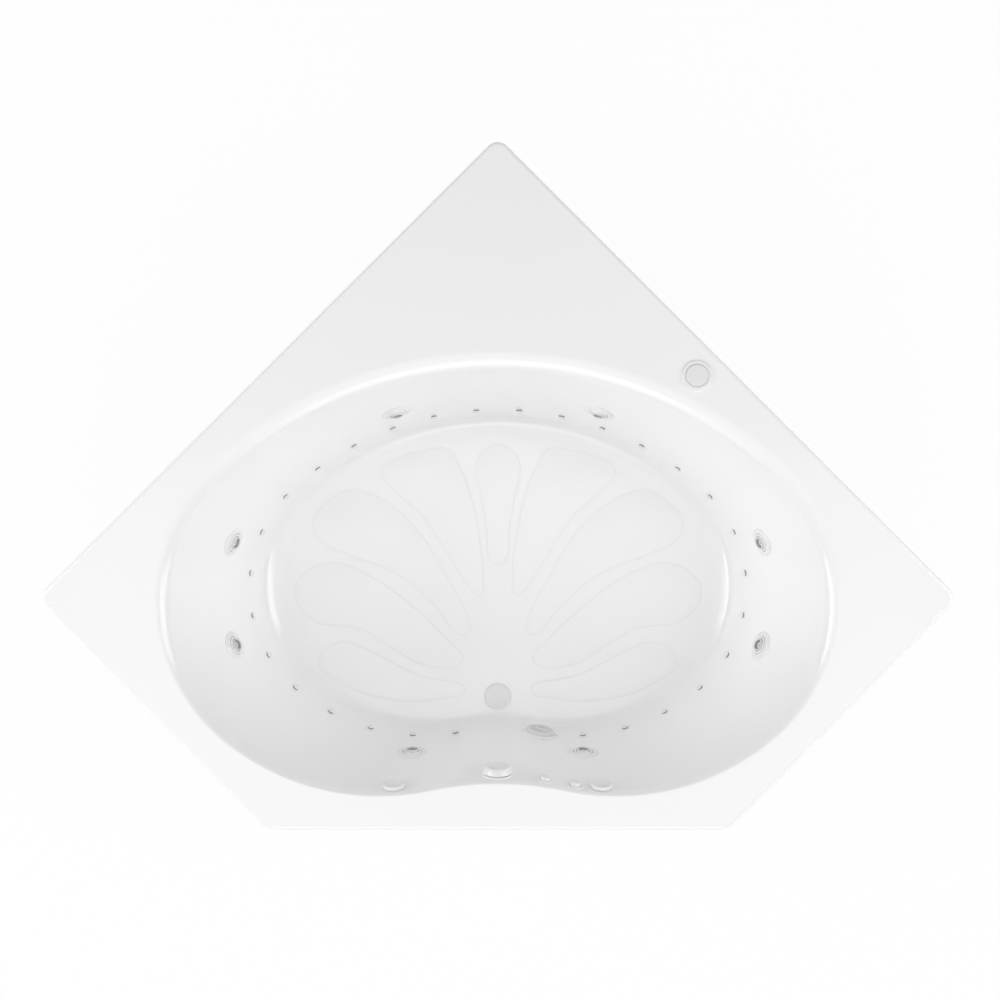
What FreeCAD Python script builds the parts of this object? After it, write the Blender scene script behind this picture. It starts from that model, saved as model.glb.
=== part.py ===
import FreeCAD, Part
import math
import os
from collections import namedtuple

# A corner bathtub with water jets and air injectors, on its own steel frame.
# Millimetres. +Z is up, +Y points to the wall corner, +X to the right of someone
# looking from the front. The origin is under the middle of the tub, on the floor.

V = FreeCAD.Vector
UP = V(0, 0, 1)

# Deck of the tub: a square with its front corner cut off
side_length = 1524.0
front_cut = 762.0
tub_height = 584.0
skin = 6.0
lip_depth = 45.0
edge_round = 9.0
wall_corner_round = 32.0
front_corner_round = 55.0

# Outward directions of the deck's edges, in degrees from +X
left_wall_facing = 135.0
right_wall_facing = 45.0
side_facing = -45.0
front_facing = -90.0

# Width of deck left outside the well at the front, at the side corners and at the wall corner
front_ledge = 83.6
corner_ledge = 301.6
apex_ledge = 536.8

# Well: its floor over the room's floor, how far each wall leans out, and how deep the front edge bows in
floor_level = 114.0
side_wall_run = 163.0
back_wall_run = 94.0
front_wall_run = 91.0
rim_dip = 29.0
floor_dip = 18.0

# Directions, in degrees, where the arcs of the well's outline meet
shoulder_angle = 48.0
lobe_angle = -51.0
dip_angle = -102.0

# Rolled edge between deck and wall, and cove between wall and floor
roll_height = 14.0
roll_side = 22.0
roll_back = 36.0
roll_front = 5.0
cove_height = 30.0
cove_side = 47.0
cove_back = 35.0
cove_front = 14.0
blend_weight = 0.78

# Clearances, roundings and how far the cutters of the holes reach
gap = 0.3
hole_gap = 0.5
seat_cut = 0.8
seal_thickness = 1.8
trim_round = 1.5
hole_reach = 24.0
seat_reach = 12.0
level_tolerance = 0.01

# Water jets: places as lengths along the wall from the back or front middle line
back_jet_run = 259.0
side_jet_run = 799.0
side_jet_spacing = 266.0
front_jet_run = 216.0
jet_flange_radius = 38.5
jet_flange_height = 5.0
jet_tube_radius = 29.5
jet_tube_length = 34.0
jet_ring_radius = 23.6
jet_ring_height = 10.0
jet_shoulder = 2.3
jet_throat_radius = 20.0
ball_radius = 17.0
ball_height = 3.0
ball_front = 9.0
ball_back = 10.0
nozzle_bore = 12.5
nozzle_core = 5.0
nozzle_rib = 3.0
locknut_radius = 40.0
locknut_height = 10.0
small_nut_radius = 22.0
jet_body_radius = 33.0
jet_body_length = 44.0
jet_body_reach = 45.0
jet_cavity_radius = 22.0

# Pipes round the well: each line's height over the one below it, and how far stubs stand out
water_pipe_radius = 16.0
water_pipe_bore = 13.0
water_port_radius = 13.0
water_port_bore = 10.0
water_rise = 50.0
jet_rise = 80.0
water_stub = 6.0
air_pipe_radius = 8.0
air_pipe_bore = 6.0
air_port_radius = 7.0
air_port_bore = 5.0
air_rise = 45.0
air_stub = 3.0
channel_radius = 12.0
channel_bore = 10.0
channel_reach = 32.0
channel_drop = 8.0
line_past = 20.0
drop_reach = 20.0
drop_shares = (0.5, 0.25)
drop_bend = 16.0

# Air injectors
injector_rise = 90.0
injector_stations = 31
injector_radius = 8.5
injector_base = 0.9
injector_slot = 1.9
injector_cap = 1.8
injector_neck = 6.5
injector_seat = 0.3
injector_round = 0.6
injector_stem = 5.0
injector_stem_length = 18.0
injector_hole = 1.5
nipple_radius = 8.0

# Suction fitting
suction_run = 111.0
suction_rise = 96.0
suction_flange_radius = 45.0
suction_flange_height = 4.0
suction_tube_radius = 30.0
suction_tube_bore = 25.0
suction_tube_length = 30.0
suction_cover_radius = 36.5
suction_cover_height = 9.0
suction_slots = 12
suction_slot_width = 4.0
suction_slot_inner = 13.0
suction_slot_outer = 30.0
suction_boss = 6.0
suction_rib = 4.0
screw_radius = 2.0
screw_head_radius = 5.0
screw_head_height = 2.5
screw_length = 18.0
suction_cup_radius = 36.0
suction_cup_length = 52.0
suction_pipe_radius = 24.0
suction_pipe_bore = 21.0
suction_bend = 45.0
suction_pipe_rise = 14.0
# Bends of the suction pipe in X and Y, counted from the pump's inlet
suction_knees = ((-355.0, -350.0), (-125.0, -170.0), (0.0, -80.0))

# Overflow and waste
overflow_depth = 50.0
overflow_flange_radius = 36.5
overflow_flange_height = 5.0
overflow_tube_radius = 22.0
overflow_tube_bore = 18.0
overflow_tube_length = 18.0
overflow_holes = 6
overflow_hole_radius = 4.5
overflow_hole_circle = 13.0
overflow_knob_radius = 29.0
overflow_knob_height = 20.0
knob_standoff = 4.0
overflow_shaft = 6.0
overflow_shaft_length = 30.0
overflow_back_gap = 1.0
overflow_cup_radius = 27.0
overflow_cup_length = 48.0
waste_pipe_radius = 20.0
waste_pipe_bore = 17.5
waste_socket = 24.0
drain_front = 245.6
drain_flange_radius = 36.0
drain_flange_height = 2.0
drain_tube_radius = 26.0
drain_tube_bore = 23.0
drain_tube_length = 26.0
drain_hub = 12.0
drain_spoke = 4.0
drain_spoke_height = 6.0
plug_radius = 34.0
plug_height = 5.0
plug_stem = 8.0
plug_stem_length = 20.0
drain_collar_radius = 40.0
drain_collar_height = 7.0
drain_cup_radius = 31.0
drain_cup_depth = 48.0
drain_pipe_drop = 30.0
tee_below = 28.0
tee_above = 52.0
tailpiece_low = 12.0
bead_height = 6.0
socket_overlap = 18.0
cable_radius = 3.5
cable_bend = 60.0

# Air regulators and buttons below the front rim, and the button on the deck
regulator_run = 246.0
regulator_depth = 41.0
regulator_radius = 26.0
regulator_knob_height = 10.0
regulator_base_radius = 22.0
regulator_base_height = 4.0
regulator_tube_radius = 14.0
regulator_tube_bore = 9.0
regulator_pivot_length = 14.0
regulator_tube_length = 36.0
button_runs = (112.0, 183.0)
button_depth = 34.0
button_bezel_radius = 19.5
button_bezel_height = 3.5
button_radius = 12.5
button_height = 7.0
button_travel = 4.0
button_tube_radius = 15.5
button_tube_length = 28.0
deck_button_x = 463.7
deck_button_back = 558.2
deck_bezel_radius = 36.0
deck_bezel_height = 4.0
deck_button_radius = 26.0
deck_button_height = 7.0
deck_tube_radius = 29.0
button_floor = 3.0

# Frame, feet and floor board
tube_size = 30.0
tube_wall = 2.0
post_gap = 9.0
foot_plate = 6.0
nut_radius = 14.0
nut_height = 16.0
stem_radius = 8.0
pad_radius = 25.0
pad_height = 12.0
board_thickness = 18.0
board_inset = 12.0
board_drain_gap = 8.0
floor_rail_x = 260.0
rail_feet = (-470.0, 40.0)
shelf_thickness = 12.0

# Pump, in the right corner
pump_corner = 252.0
pump_shaft_rise = 90.0
volute_radius = 72.0
volute_length = 60.0
volute_wall = 6.0
pump_front = 67.0
inlet_length = 20.0
impeller_radius = 52.0
impeller_length = 24.0
impeller_vanes = 6
vane_width = 6.0
impeller_plate = 6.0
pump_shaft = 8.0
pump_shaft_length = 40.0
motor_radius = 75.0
motor_length = 165.0
motor_foot_width = 110.0
motor_round = 6.0
terminal_box_side = 55.0
terminal_box_rise = 27.5
discharge_port = 85.0
discharge_drop = 56.0
discharge_bend = 28.0
shelf_inner = 122.0
shelf_outer = 78.0
shelf_half_length = 135.0

# Blower, in the left corner
blower_radius = 80.0
blower_over_port = 26.0
blower_wall = 4.0
blower_hole = 4.0
blower_hole_circle = 30.0
blower_boss = 20.0
blower_boss_height = 26.0
fan_radius = 60.0
fan_height = 36.0
fan_vanes = 12
fan_plate = 4.0
fan_vane_width = 4.0
fan_shaft = 6.0
fan_shaft_length = 20.0
blower_port = 16.0
blower_port_bore = 12.0
blower_port_length = 12.0

# Control box, near the wall corner
box_width = 180.0
box_depth = 70.0
box_height = 120.0
box_wall = 3.0
box_back = 215.0
gland_radius = 10.0
gland_length = 15.0
gland_bore = 5.0
box_shelf_width = 300.0
box_shelf_depth = 84.0

# Levels that follow from the sizes above
well_depth = tub_height - floor_level
rail_top = floor_level - skin - board_thickness
foot_height = rail_top - tube_size
shelf_top = rail_top + shelf_thickness
flange_low = seal_thickness - seat_cut
injector_depth = well_depth - injector_rise
suction_depth = well_depth - suction_rise
suction_pipe_level = floor_level + suction_pipe_rise
channel_level = floor_level + injector_rise - channel_drop
water_level = channel_level + water_rise
jet_level = water_level + jet_rise
jet_depth = tub_height - jet_level
air_level = jet_level + air_rise
pump_level = shelf_top + pump_shaft_rise
blower_port_rise = channel_level - shelf_top
blower_height = blower_port_rise + blower_over_port
drain_pipe_level = floor_level - skin - drain_pipe_drop
tee_low = drain_pipe_level - tee_below
tee_high = drain_pipe_level + tee_above
diagonal = math.sqrt(2)
apex_y = (side_length * diagonal - front_cut / diagonal + wall_corner_round * (diagonal - 1)) / 2
corner_x = side_length / diagonal
corner_y = apex_y - corner_x
front_x = front_cut / diagonal
front_y = corner_y - (corner_x - front_x)
well_front = front_y + front_ledge

Arc = namedtuple("Arc", "centre radius start end")
Station = namedtuple("Station", "point normal outward slope")


def unit(degrees):
    """Level direction at an angle from +X."""
    turn = math.radians(degrees)
    return V(math.cos(turn), math.sin(turn), 0)


def toward(start, end):
    """Unit vector from one point to another."""
    step = end - start
    return step * (1 / step.Length)


def mirrored(point):
    return V(-point.x, point.y, point.z)


def lifted(point, level):
    return V(point.x, point.y, level)


def solve(rows, values):
    """Solve a small set of linear equations by elimination."""
    size = len(rows)
    table = [list(row) + [value] for row, value in zip(rows, values)]
    for step in range(size):
        pivot = max(range(step, size), key=lambda row: abs(table[row][step]))
        table[step], table[pivot] = table[pivot], table[step]
        for row in range(size):
            if row != step:
                share = table[row][step] / table[step][step]
                table[row] = [a - share * b for a, b in zip(table[row], table[step])]
    return [table[row][size] / table[row][row] for row in range(size)]


def well_outline(half_width, back, lobe, dip):
    """Right half of a well outline, clockwise from the back middle: back, side, lobe and dip arcs."""
    turns = [90.0, shoulder_angle, lobe_angle, dip_angle, -90.0]
    across = [unit(turn).x for turn in turns]
    along = [unit(turn).y for turn in turns]
    reach = [[across[i + 1] - across[i] for i in range(4)], [along[i + 1] - along[i] for i in range(4)]]
    rows = [
        [across[1], 1 - across[1], 0, 0],
        [reach[1][0], reach[1][1], -1 - along[2], 0],
        reach[0],
        reach[1],
    ]
    radii = solve(rows, [half_width, lobe - back, 0, dip - back])
    arcs = []
    centre = V(0, back - radii[0], 0)
    for index, radius in enumerate(radii):
        if index:
            centre = centre + unit(turns[index]) * (radii[index - 1] - radius)
        arcs.append(Arc(centre, radius, turns[index], turns[index + 1]))
    return arcs


def grown(arcs, distance):
    """Parallel outline, further out by a distance."""
    return [arc._replace(radius=arc.radius + distance) for arc in arcs]


rim_width = corner_x - corner_ledge
rim_back = apex_y - apex_ledge
rim_arcs = well_outline(rim_width, rim_back, well_front, well_front + rim_dip)
floor_width = rim_width - side_wall_run
floor_back = rim_back - back_wall_run
floor_front = well_front + front_wall_run
floor_arcs = well_outline(floor_width, floor_back, floor_front, floor_front + floor_dip)


def wall_arcs(depth):
    """Outline of the straight walls at a depth below the deck."""
    share = depth / well_depth
    arcs = []
    for rim, floor in zip(rim_arcs, floor_arcs):
        centre = rim.centre + (floor.centre - rim.centre) * share
        radius = rim.radius + (floor.radius - rim.radius) * share
        arcs.append(Arc(centre, radius, rim.start, rim.end))
    return arcs


def arc_length(arc):
    return abs(arc.radius * math.radians(arc.end - arc.start))


def half_length(arcs):
    """Length of the outline from the back middle to the front middle."""
    return sum(arc_length(arc) for arc in arcs)


def find_arc(arcs, run):
    """Index of the arc, and the angle on it, at a length from the back middle."""
    left = run
    for index, arc in enumerate(arcs):
        length = arc_length(arc)
        if left <= length or index == len(arcs) - 1:
            return index, arc.start + (arc.end - arc.start) * left / length
        left -= length


def station(run, depth):
    """Place on the wall at a length from the back middle, positive to the right, and a depth."""
    index, angle = find_arc(wall_arcs(depth), abs(run))
    arc = wall_arcs(depth)[index]
    rim = rim_arcs[index]
    floor = floor_arcs[index]
    outward = unit(angle)
    slope = ((rim.centre - floor.centre).dot(outward) + rim.radius - floor.radius) / well_depth
    point = lifted(arc.centre + outward * arc.radius, tub_height - depth)
    if run < 0:
        point = mirrored(point)
        outward = mirrored(outward)
    normal = toward(V(), UP * slope - outward)
    return Station(point, normal, outward, slope)


def front_station(run, depth):
    """Place on the wall at a length from the front middle, positive to the right."""
    half = half_length(wall_arcs(depth))
    if run < 0:
        return station(-half - run, depth)
    return station(half - run, depth)


def seated(place):
    """Placement with local Z into the well, local Y up the wall."""
    across = V(place.outward.y, -place.outward.x, 0)
    upward = place.normal.cross(across)
    matrix = FreeCAD.Matrix(
        across.x, upward.x, place.normal.x, place.point.x,
        across.y, upward.y, place.normal.y, place.point.y,
        across.z, upward.z, place.normal.z, place.point.z,
        0, 0, 0, 1)
    return FreeCAD.Placement(matrix)


def put(shape, place):
    """Copy of a shape, moved from its local frame to a place on the wall."""
    return shape.transformed(seated(place).toMatrix(), True)


def moved(shape, point):
    return shape.translated(point)


def fused(shapes):
    shapes = list(shapes)
    return shapes[0].multiFuse(shapes[1:]).removeSplitter()


def save(name, *shapes):
    shape = shapes[0] if len(shapes) == 1 else Part.makeCompound(list(shapes))
    shape.exportStep("parts/" + name + ".step")


def disc(radius, low, high):
    return Part.makeCylinder(radius, high - low, V(0, 0, low))


def ring(outer, inner, low, high):
    return disc(outer, low, high).cut(disc(inner, low, high))


def rounded(shape, radius, level):
    """Round the circular edges at one level."""
    edges = []
    for edge in shape.Edges:
        box = edge.BoundBox
        if abs(box.ZMin - level) + abs(box.ZMax - level) < level_tolerance:
            edges.append(edge)
    return shape.makeFillet(radius, edges)


def bar(x_size, y_size, low, high):
    """Upright bar, centred on the local axis."""
    return Part.makeBox(x_size, y_size, high - low, V(-x_size / 2, -y_size / 2, low))


def prism(sides, radius, low, high):
    points = [unit(360.0 * step / sides) * radius for step in range(sides)]
    outline = Part.makePolygon(points + points[:1])
    return moved(Part.Face(outline).extrude(UP * (high - low)), UP * low)


def spokes(count, length, width, low, high):
    """Bars from the middle outwards, evenly turned."""
    arms = []
    for step in range(count):
        arm = Part.makeBox(length, width, high - low, V(0, -width / 2, low))
        arms.append(arm.rotated(V(), UP, 360.0 * step / count))
    return arms


def upright(radius, point, level):
    """Upright cylinder from a point to a level."""
    low = min(point.z, level)
    return Part.makeCylinder(radius, abs(level - point.z), lifted(point, low))


def rod(radius, start, end):
    return Part.makeCylinder(radius, (end - start).Length, start, toward(start, end))


def bent_path(points, bend):
    """Straight runs joined by arcs of one radius."""
    edges = []
    start = points[0]
    for before, corner, after in zip(points, points[1:], points[2:]):
        back = toward(corner, before)
        ahead = toward(corner, after)
        half = back.getAngle(ahead) / 2
        entry = corner + back * (bend / math.tan(half))
        leave = corner + ahead * (bend / math.tan(half))
        middle = corner + toward(V(), back + ahead) * (bend / math.sin(half) - bend)
        edges.append(Part.LineSegment(start, entry).toShape())
        edges.append(Part.Arc(entry, middle, leave).toShape())
        start = leave
    edges.append(Part.LineSegment(start, points[-1]).toShape())
    return Part.Wire(edges)


def wall_path(arcs, level, left_end, right_end):
    """Path along an outline at one level, from its left end round the back to its right end."""
    edges = []
    for (last, last_angle), flip in ((left_end, True), (right_end, False)):
        for index, arc in enumerate(arcs[:last + 1]):
            end = last_angle if index == last else arc.end
            turns = (arc.start, (arc.start + end) / 2, end)
            points = [lifted(arc.centre + unit(turn) * arc.radius, level) for turn in turns]
            if flip:
                edges.insert(0, Part.Arc(*[mirrored(point) for point in reversed(points)]).toShape())
            else:
                edges.append(Part.Arc(*points).toShape())
    return Part.Wire(edges)


def sweep(path, radius):
    """Round bar along a path."""
    edge = path.Edges[0]
    start = edge.valueAt(edge.FirstParameter)
    along = edge.tangentAt(edge.FirstParameter)
    section = Part.Wire(Part.Circle(start, along, radius).toShape())
    return path.makePipeShell([section], True, False)


def piped(path, outer, inner):
    return sweep(path, outer).cut(sweep(path, inner))


def arc_poles(centre, radius, start, end):
    """Poles and middle weight of an arc as a rational quadratic curve."""
    half = math.radians(end - start) / 2
    weight = math.cos(half)
    middle = centre + unit((start + end) / 2) * (radius / weight)
    return centre + unit(start) * radius, middle, centre + unit(end) * radius, weight


def closed_loop(half):
    """Whole outline from its right half, by mirroring."""
    left = [(mirrored(c), mirrored(b), mirrored(a), weight) for a, b, c, weight in reversed(half)]
    return half + left


def well_loop(arcs):
    return closed_loop([arc_poles(*arc) for arc in arcs])


def corner_centre(corner, radius, before, after):
    """Centre of a round at a corner between two straight edges."""
    lean = math.cos(math.radians(before - after) / 2)
    return corner - unit((before + after) / 2) * (radius / lean)


def deck_corners():
    """Sharp corners of the deck's right half, with the facings of the edges before and after each."""
    return [
        (V(0, apex_y, 0), left_wall_facing, right_wall_facing),
        (V(corner_x, corner_y, 0), right_wall_facing, side_facing),
        (V(front_x, front_y, 0), side_facing, front_facing)]


def deck_loop(inset):
    """Deck outline, drawn in by an inset."""
    rounds = (wall_corner_round, wall_corner_round, front_corner_round)
    half = []
    last = None
    for (corner, before, after), radius in zip(deck_corners(), rounds):
        centre = corner_centre(corner, radius, before, after)
        poles = arc_poles(centre, radius - inset, min(before, 90.0), after)
        if last:
            half.append((last, (last + poles[0]) * 0.5, poles[0], 1.0))
        half.append(poles)
        last = poles[2]
    end = V(0, last.y, 0)
    half.append((last, (last + end) * 0.5, end, 1.0))
    return closed_loop(half)


def patch(rows, row_weights, middle_weight):
    """Face through rows of poles: straight between two rows, rounded through three."""
    poles = [[row[column] for row in rows] for column in range(3)]
    weights = [[row_weight * weight for row_weight in row_weights] for weight in (1.0, middle_weight, 1.0)]
    degree = len(rows) - 1
    surface = Part.BSplineSurface()
    surface.buildFromPolesMultsKnots(
        poles, (3, 3), (degree + 1, degree + 1), (0, 1), (0, 1), False, False, 2, degree, weights)
    return surface.toShape()


def band(*levels):
    """Faces all round between two or three outlines, each with its level."""
    row_weights = (1.0, 1.0) if len(levels) == 2 else (1.0, blend_weight, 1.0)
    faces = []
    for step in range(len(levels[0][0])):
        rows = []
        for loop, level in levels:
            rows.append([lifted(pole, level) for pole in loop[step][:3]])
        middle_weight = levels[0][0][step][3]
        faces.append(patch(rows, row_weights, middle_weight))
    return faces


def loop_wire(loop, level):
    edges = []
    for a, b, c, weight in loop:
        curve = Part.BSplineCurve()
        points = [lifted(point, level) for point in (a, b, c)]
        curve.buildFromPolesMultsKnots(points, (3, 3), (0, 1), False, 2, (1.0, weight, 1.0))
        edges.append(curve.toShape())
    return Part.Wire(edges)


def flat(level, outer, inner=None):
    """Level face inside one outline, with another left open."""
    face = Part.Face(loop_wire(outer, level))
    if inner is None:
        return face
    return face.cut(Part.Face(loop_wire(inner, level))).Faces[0]


def closed_solid(faces):
    shell = Part.makeShell(faces)
    shell.sewShape()
    solid = Part.makeSolid(shell)
    if solid.Volume < 0:
        solid.reverse()
    return solid


def roll_top_loop():
    """Line on the deck where the rolled edge starts."""
    front = well_front - roll_front
    return well_loop(well_outline(rim_width + roll_side, rim_back + roll_back, front, front + rim_dip))


def cove_floor_loop(inset):
    """Line on the floor where the cove ends, drawn in by an inset."""
    front = floor_front + cove_front
    arcs = well_outline(floor_width - cove_side, floor_back - cove_back, front, front + floor_dip)
    return well_loop(grown(arcs, -inset))


def wall_loop(depth, offset):
    return well_loop(grown(wall_arcs(depth), offset))


def well_skin(offset, drop):
    """Roll, wall, cove and floor faces of the well; the outside is an offset and a drop away."""
    roll_foot = roll_height + drop / 2
    cove_top = well_depth - cove_height + drop / 2
    faces = band(
        (roll_top_loop(), tub_height - drop),
        (wall_loop(drop, offset), tub_height - drop),
        (wall_loop(roll_foot, offset), tub_height - roll_foot))
    faces += band(
        (wall_loop(roll_foot, offset), tub_height - roll_foot),
        (wall_loop(cove_top, offset), tub_height - cove_top))
    faces += band(
        (wall_loop(cove_top, offset), tub_height - cove_top),
        (wall_loop(well_depth + drop, offset), floor_level - drop),
        (cove_floor_loop(0), floor_level - drop))
    faces.append(flat(floor_level - drop, cove_floor_loop(0)))
    return faces


def tub_blank():
    """Moulded shell before its holes are cut: deck, lip and well in one skin."""
    lip_low = tub_height - lip_depth
    under = tub_height - skin
    faces = well_skin(0, 0) + well_skin(skin, skin)
    faces.append(flat(tub_height, deck_loop(edge_round), roll_top_loop()))
    faces += band(
        (deck_loop(edge_round), tub_height),
        (deck_loop(0), tub_height),
        (deck_loop(0), tub_height - edge_round))
    faces += band((deck_loop(0), tub_height - edge_round), (deck_loop(0), lip_low))
    faces.append(flat(lip_low, deck_loop(0), deck_loop(skin)))
    faces += band((deck_loop(skin), lip_low), (deck_loop(skin), under))
    faces.append(flat(under, deck_loop(skin), roll_top_loop()))
    return closed_solid(faces)


def line_end(depth, front_run, offset, extra):
    """Arc and angle where a line along the wall ends, a little past a place measured from the front."""
    arcs = wall_arcs(depth)
    index, angle = find_arc(arcs, half_length(arcs) - front_run)
    return index, angle - math.degrees(extra / (arcs[index].radius + offset))


def beside_wall(arcs, y):
    """Point on the right side arc of an outline at one Y."""
    side = arcs[1]
    rise = y - side.centre.y
    return V(side.centre.x + math.sqrt(side.radius ** 2 - rise ** 2), y, 0)


def behind(place, reach):
    """Point outside the wall, straight behind a fitting."""
    return place.point - place.normal * reach


def hole(radius, seat_radius, seat):
    """Cutter for a hole through the skin with a flat seat on the inside."""
    through = disc(radius, -hole_reach, 0)
    return disc(seat_radius, -seat, seat_reach).fuse(through)


def locknut(radius, thread):
    """Six-sided nut on the outside of the skin."""
    top = -skin - gap
    return prism(6, radius, top - locknut_height, top).cut(disc(thread + gap, top - locknut_height, top))


# Water jets

def jet_places():
    places = []
    for side in (1, -1):
        places.append(station(side * back_jet_run, jet_depth))
        places.append(station(side * side_jet_run, jet_depth))
        places.append(station(side * (side_jet_run + side_jet_spacing), jet_depth))
        places.append(front_station(side * front_jet_run, jet_depth))
    return places


def jet_flange():
    top = flange_low + jet_flange_height
    head = rounded(disc(jet_flange_radius, flange_low, top), trim_round, top)
    shape = head.fuse(disc(jet_tube_radius, -jet_tube_length, flange_low))
    shape = shape.cut(disc(jet_ring_radius + gap, -jet_shoulder, top))
    return shape.cut(disc(jet_throat_radius, -jet_tube_length, -jet_shoulder))


def flat_seal(outer, inner):
    """Sealing ring between a flange and its seat."""
    return ring(outer - hole_gap, inner + hole_gap, -seat_cut, flange_low)


def jet_ring():
    low = gap - jet_shoulder
    shape = rounded(disc(jet_ring_radius, low, low + jet_ring_height), trim_round, low + jet_ring_height)
    return shape.cut(Part.makeSphere(ball_radius + gap, V(0, 0, ball_height)))


def jet_nozzle():
    low = ball_height - ball_back
    high = ball_height + ball_front
    ball = Part.makeSphere(ball_radius, V(0, 0, ball_height)).common(disc(ball_radius, low, high))
    ball = ball.cut(disc(nozzle_bore, low, high))
    core = disc(nozzle_core, low, high - nozzle_rib)
    rib = bar(2 * nozzle_bore + nozzle_rib, nozzle_rib, ball_height - nozzle_rib, ball_height + nozzle_rib)
    return fused([ball, core, rib])


water_face = water_level + water_pipe_radius + water_stub
air_face = air_level - air_pipe_radius - air_stub


def jet_body(place):
    """Cup behind the wall with a water port below and an air port above."""
    top = -skin - locknut_height - 2 * gap
    low = top - jet_body_length
    socket = -jet_tube_length - gap
    middle = behind(place, jet_body_reach)
    outer = fused([
        put(disc(jet_body_radius, low, top), place),
        upright(water_port_radius, middle, water_face),
        upright(air_port_radius, middle, air_face)])
    inner = fused([
        put(disc(jet_tube_radius + gap, socket, top), place),
        put(disc(jet_cavity_radius, low + skin, socket), place),
        upright(water_port_bore, middle, water_face),
        upright(air_port_bore, middle, air_face)])
    return outer.cut(inner)


def line_offset(places, reach):
    """Mean level distance from the wall of points behind fittings."""
    return sum(reach / math.hypot(1, place.slope) for place in places) / len(places)


def wall_line(depth, offset, level, runs, extra, radius):
    """Round bar along the wall between two places measured from the front."""
    arcs = grown(wall_arcs(depth), offset)
    ends = [line_end(depth, run, offset, extra) for run in runs]
    return sweep(wall_path(arcs, level, *ends), radius)


jet_line = line_offset(jet_places(), jet_body_reach)
jet_line_runs = (front_jet_run, front_jet_run)


def water_manifold():
    """Pipe round the well with a stub up to each jet and one up to the pump's discharge."""
    tops = [behind(place, jet_body_reach) for place in jet_places()] + [discharge_point()]
    outer = [wall_line(jet_depth, jet_line, water_level, jet_line_runs, line_past, water_pipe_radius)]
    inner = [wall_line(jet_depth, jet_line, water_level, jet_line_runs, line_past - skin, water_pipe_bore)]
    for top in tops:
        outer.append(upright(water_port_radius, lifted(top, water_face), water_level))
        inner.append(upright(water_port_bore, lifted(top, water_face), water_level))
    return fused(outer).cut(fused(inner))


def regulator_drop(place):
    """Path of the air pipe from a regulator down to the air line."""
    side = 1 if place.point.x > 0 else -1
    top = behind(place, regulator_tube_length)
    out = behind(place, regulator_tube_length + drop_reach)
    below = front_station(side * regulator_run, jet_depth)
    foot = lifted(below.point + below.outward * jet_line, air_level)
    drop = out.z - air_level
    high, low = [air_level + drop * share for share in drop_shares]
    return [top, out, lifted(out, high), lifted(foot, low), foot]


def air_line():
    """Pipe round the well with a stub down to each jet and a pipe up to each regulator."""
    outer = [wall_line(jet_depth, jet_line, air_level, jet_line_runs, line_past, air_pipe_radius)]
    inner = [wall_line(jet_depth, jet_line, air_level, jet_line_runs, line_past - skin, air_pipe_bore)]
    for place in jet_places():
        top = behind(place, jet_body_reach)
        outer.append(upright(air_port_radius, lifted(top, air_face), air_level))
        inner.append(upright(air_port_bore, lifted(top, air_face), air_level))
    for place in regulator_places():
        path = bent_path(regulator_drop(place), drop_bend)
        outer.append(sweep(path, air_port_radius))
        inner.append(sweep(path, air_port_bore))
    return fused(outer).cut(fused(inner))


# Air injectors, and the channel that feeds them

injector_spacing = 2 * half_length(wall_arcs(injector_depth)) / injector_stations


def injector_places():
    """Even stations round the well, without the front middle one and the one the suction takes."""
    half = injector_stations // 2
    steps = list(range(2, half + 1)) + list(range(-half, 0))
    return [front_station(step * injector_spacing, injector_depth) for step in steps]


def air_injector():
    """Base in the wall, and a cap that stands off it over a neck with side holes."""
    slot_top = injector_base + injector_slot
    high = slot_top + injector_cap
    cap = rounded(disc(injector_radius, slot_top, high), injector_round, high)
    shape = fused([
        disc(injector_stem, -injector_stem_length, -injector_seat),
        disc(injector_radius, -injector_seat, injector_base),
        disc(injector_neck, injector_base, slot_top),
        cap])
    shape = shape.cut(disc(injector_hole, -injector_stem_length, slot_top))
    return shape.cut(Part.makeCompound(spokes(4, injector_radius, injector_hole, injector_base, slot_top)))


def air_channel():
    """Pipe round the well, with a nipple to each injector and one to the blower."""
    places = injector_places()
    offset = line_offset(places, channel_reach)
    runs = (injector_spacing, 2 * injector_spacing)
    outer = [wall_line(injector_depth, offset, channel_level, runs, line_past, channel_radius)]
    inner = [wall_line(injector_depth, offset, channel_level, runs, line_past - skin, channel_bore)]
    for place in places:
        outer.append(rod(nipple_radius, behind(place, skin + gap), behind(place, channel_reach)))
        inner.append(rod(injector_stem + gap, behind(place, skin + gap), behind(place, channel_reach)))
    middle, face = blower_branch()
    outer.append(rod(blower_port, middle, face).cut(rod(blower_port, middle, face).common(outer[0])))
    inner.append(rod(blower_port_bore, middle, face))
    return fused(outer).cut(fused(inner))


def blower_branch():
    """Middle of the channel and end of its stub, level with the blower."""
    offset = line_offset(injector_places(), channel_reach)
    point = beside_wall(grown(wall_arcs(injector_depth), offset), corner_y)
    middle = lifted(mirrored(point), channel_level)
    return middle, middle - V(channel_radius + blower_port_length, 0, 0)


# Suction fitting

def suction_place():
    return front_station(suction_run, suction_depth)


suction_top = flange_low + suction_flange_height


def suction_body():
    """Flange and threaded tube with a spider that takes the cover's screw."""
    shape = rounded(disc(suction_flange_radius, flange_low, suction_top), trim_round, suction_top)
    shape = shape.fuse(disc(suction_tube_radius, -suction_tube_length, flange_low))
    shape = shape.cut(disc(suction_tube_bore, -suction_tube_length, suction_top))
    low = suction_top - screw_length
    reach = (suction_tube_radius + suction_tube_bore) / 2
    spider = fused([disc(suction_boss, low, suction_top)] + spokes(3, reach, suction_rib, low, flange_low))
    return fused([shape, spider]).cut(disc(screw_radius + gap, low, suction_top))


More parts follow.
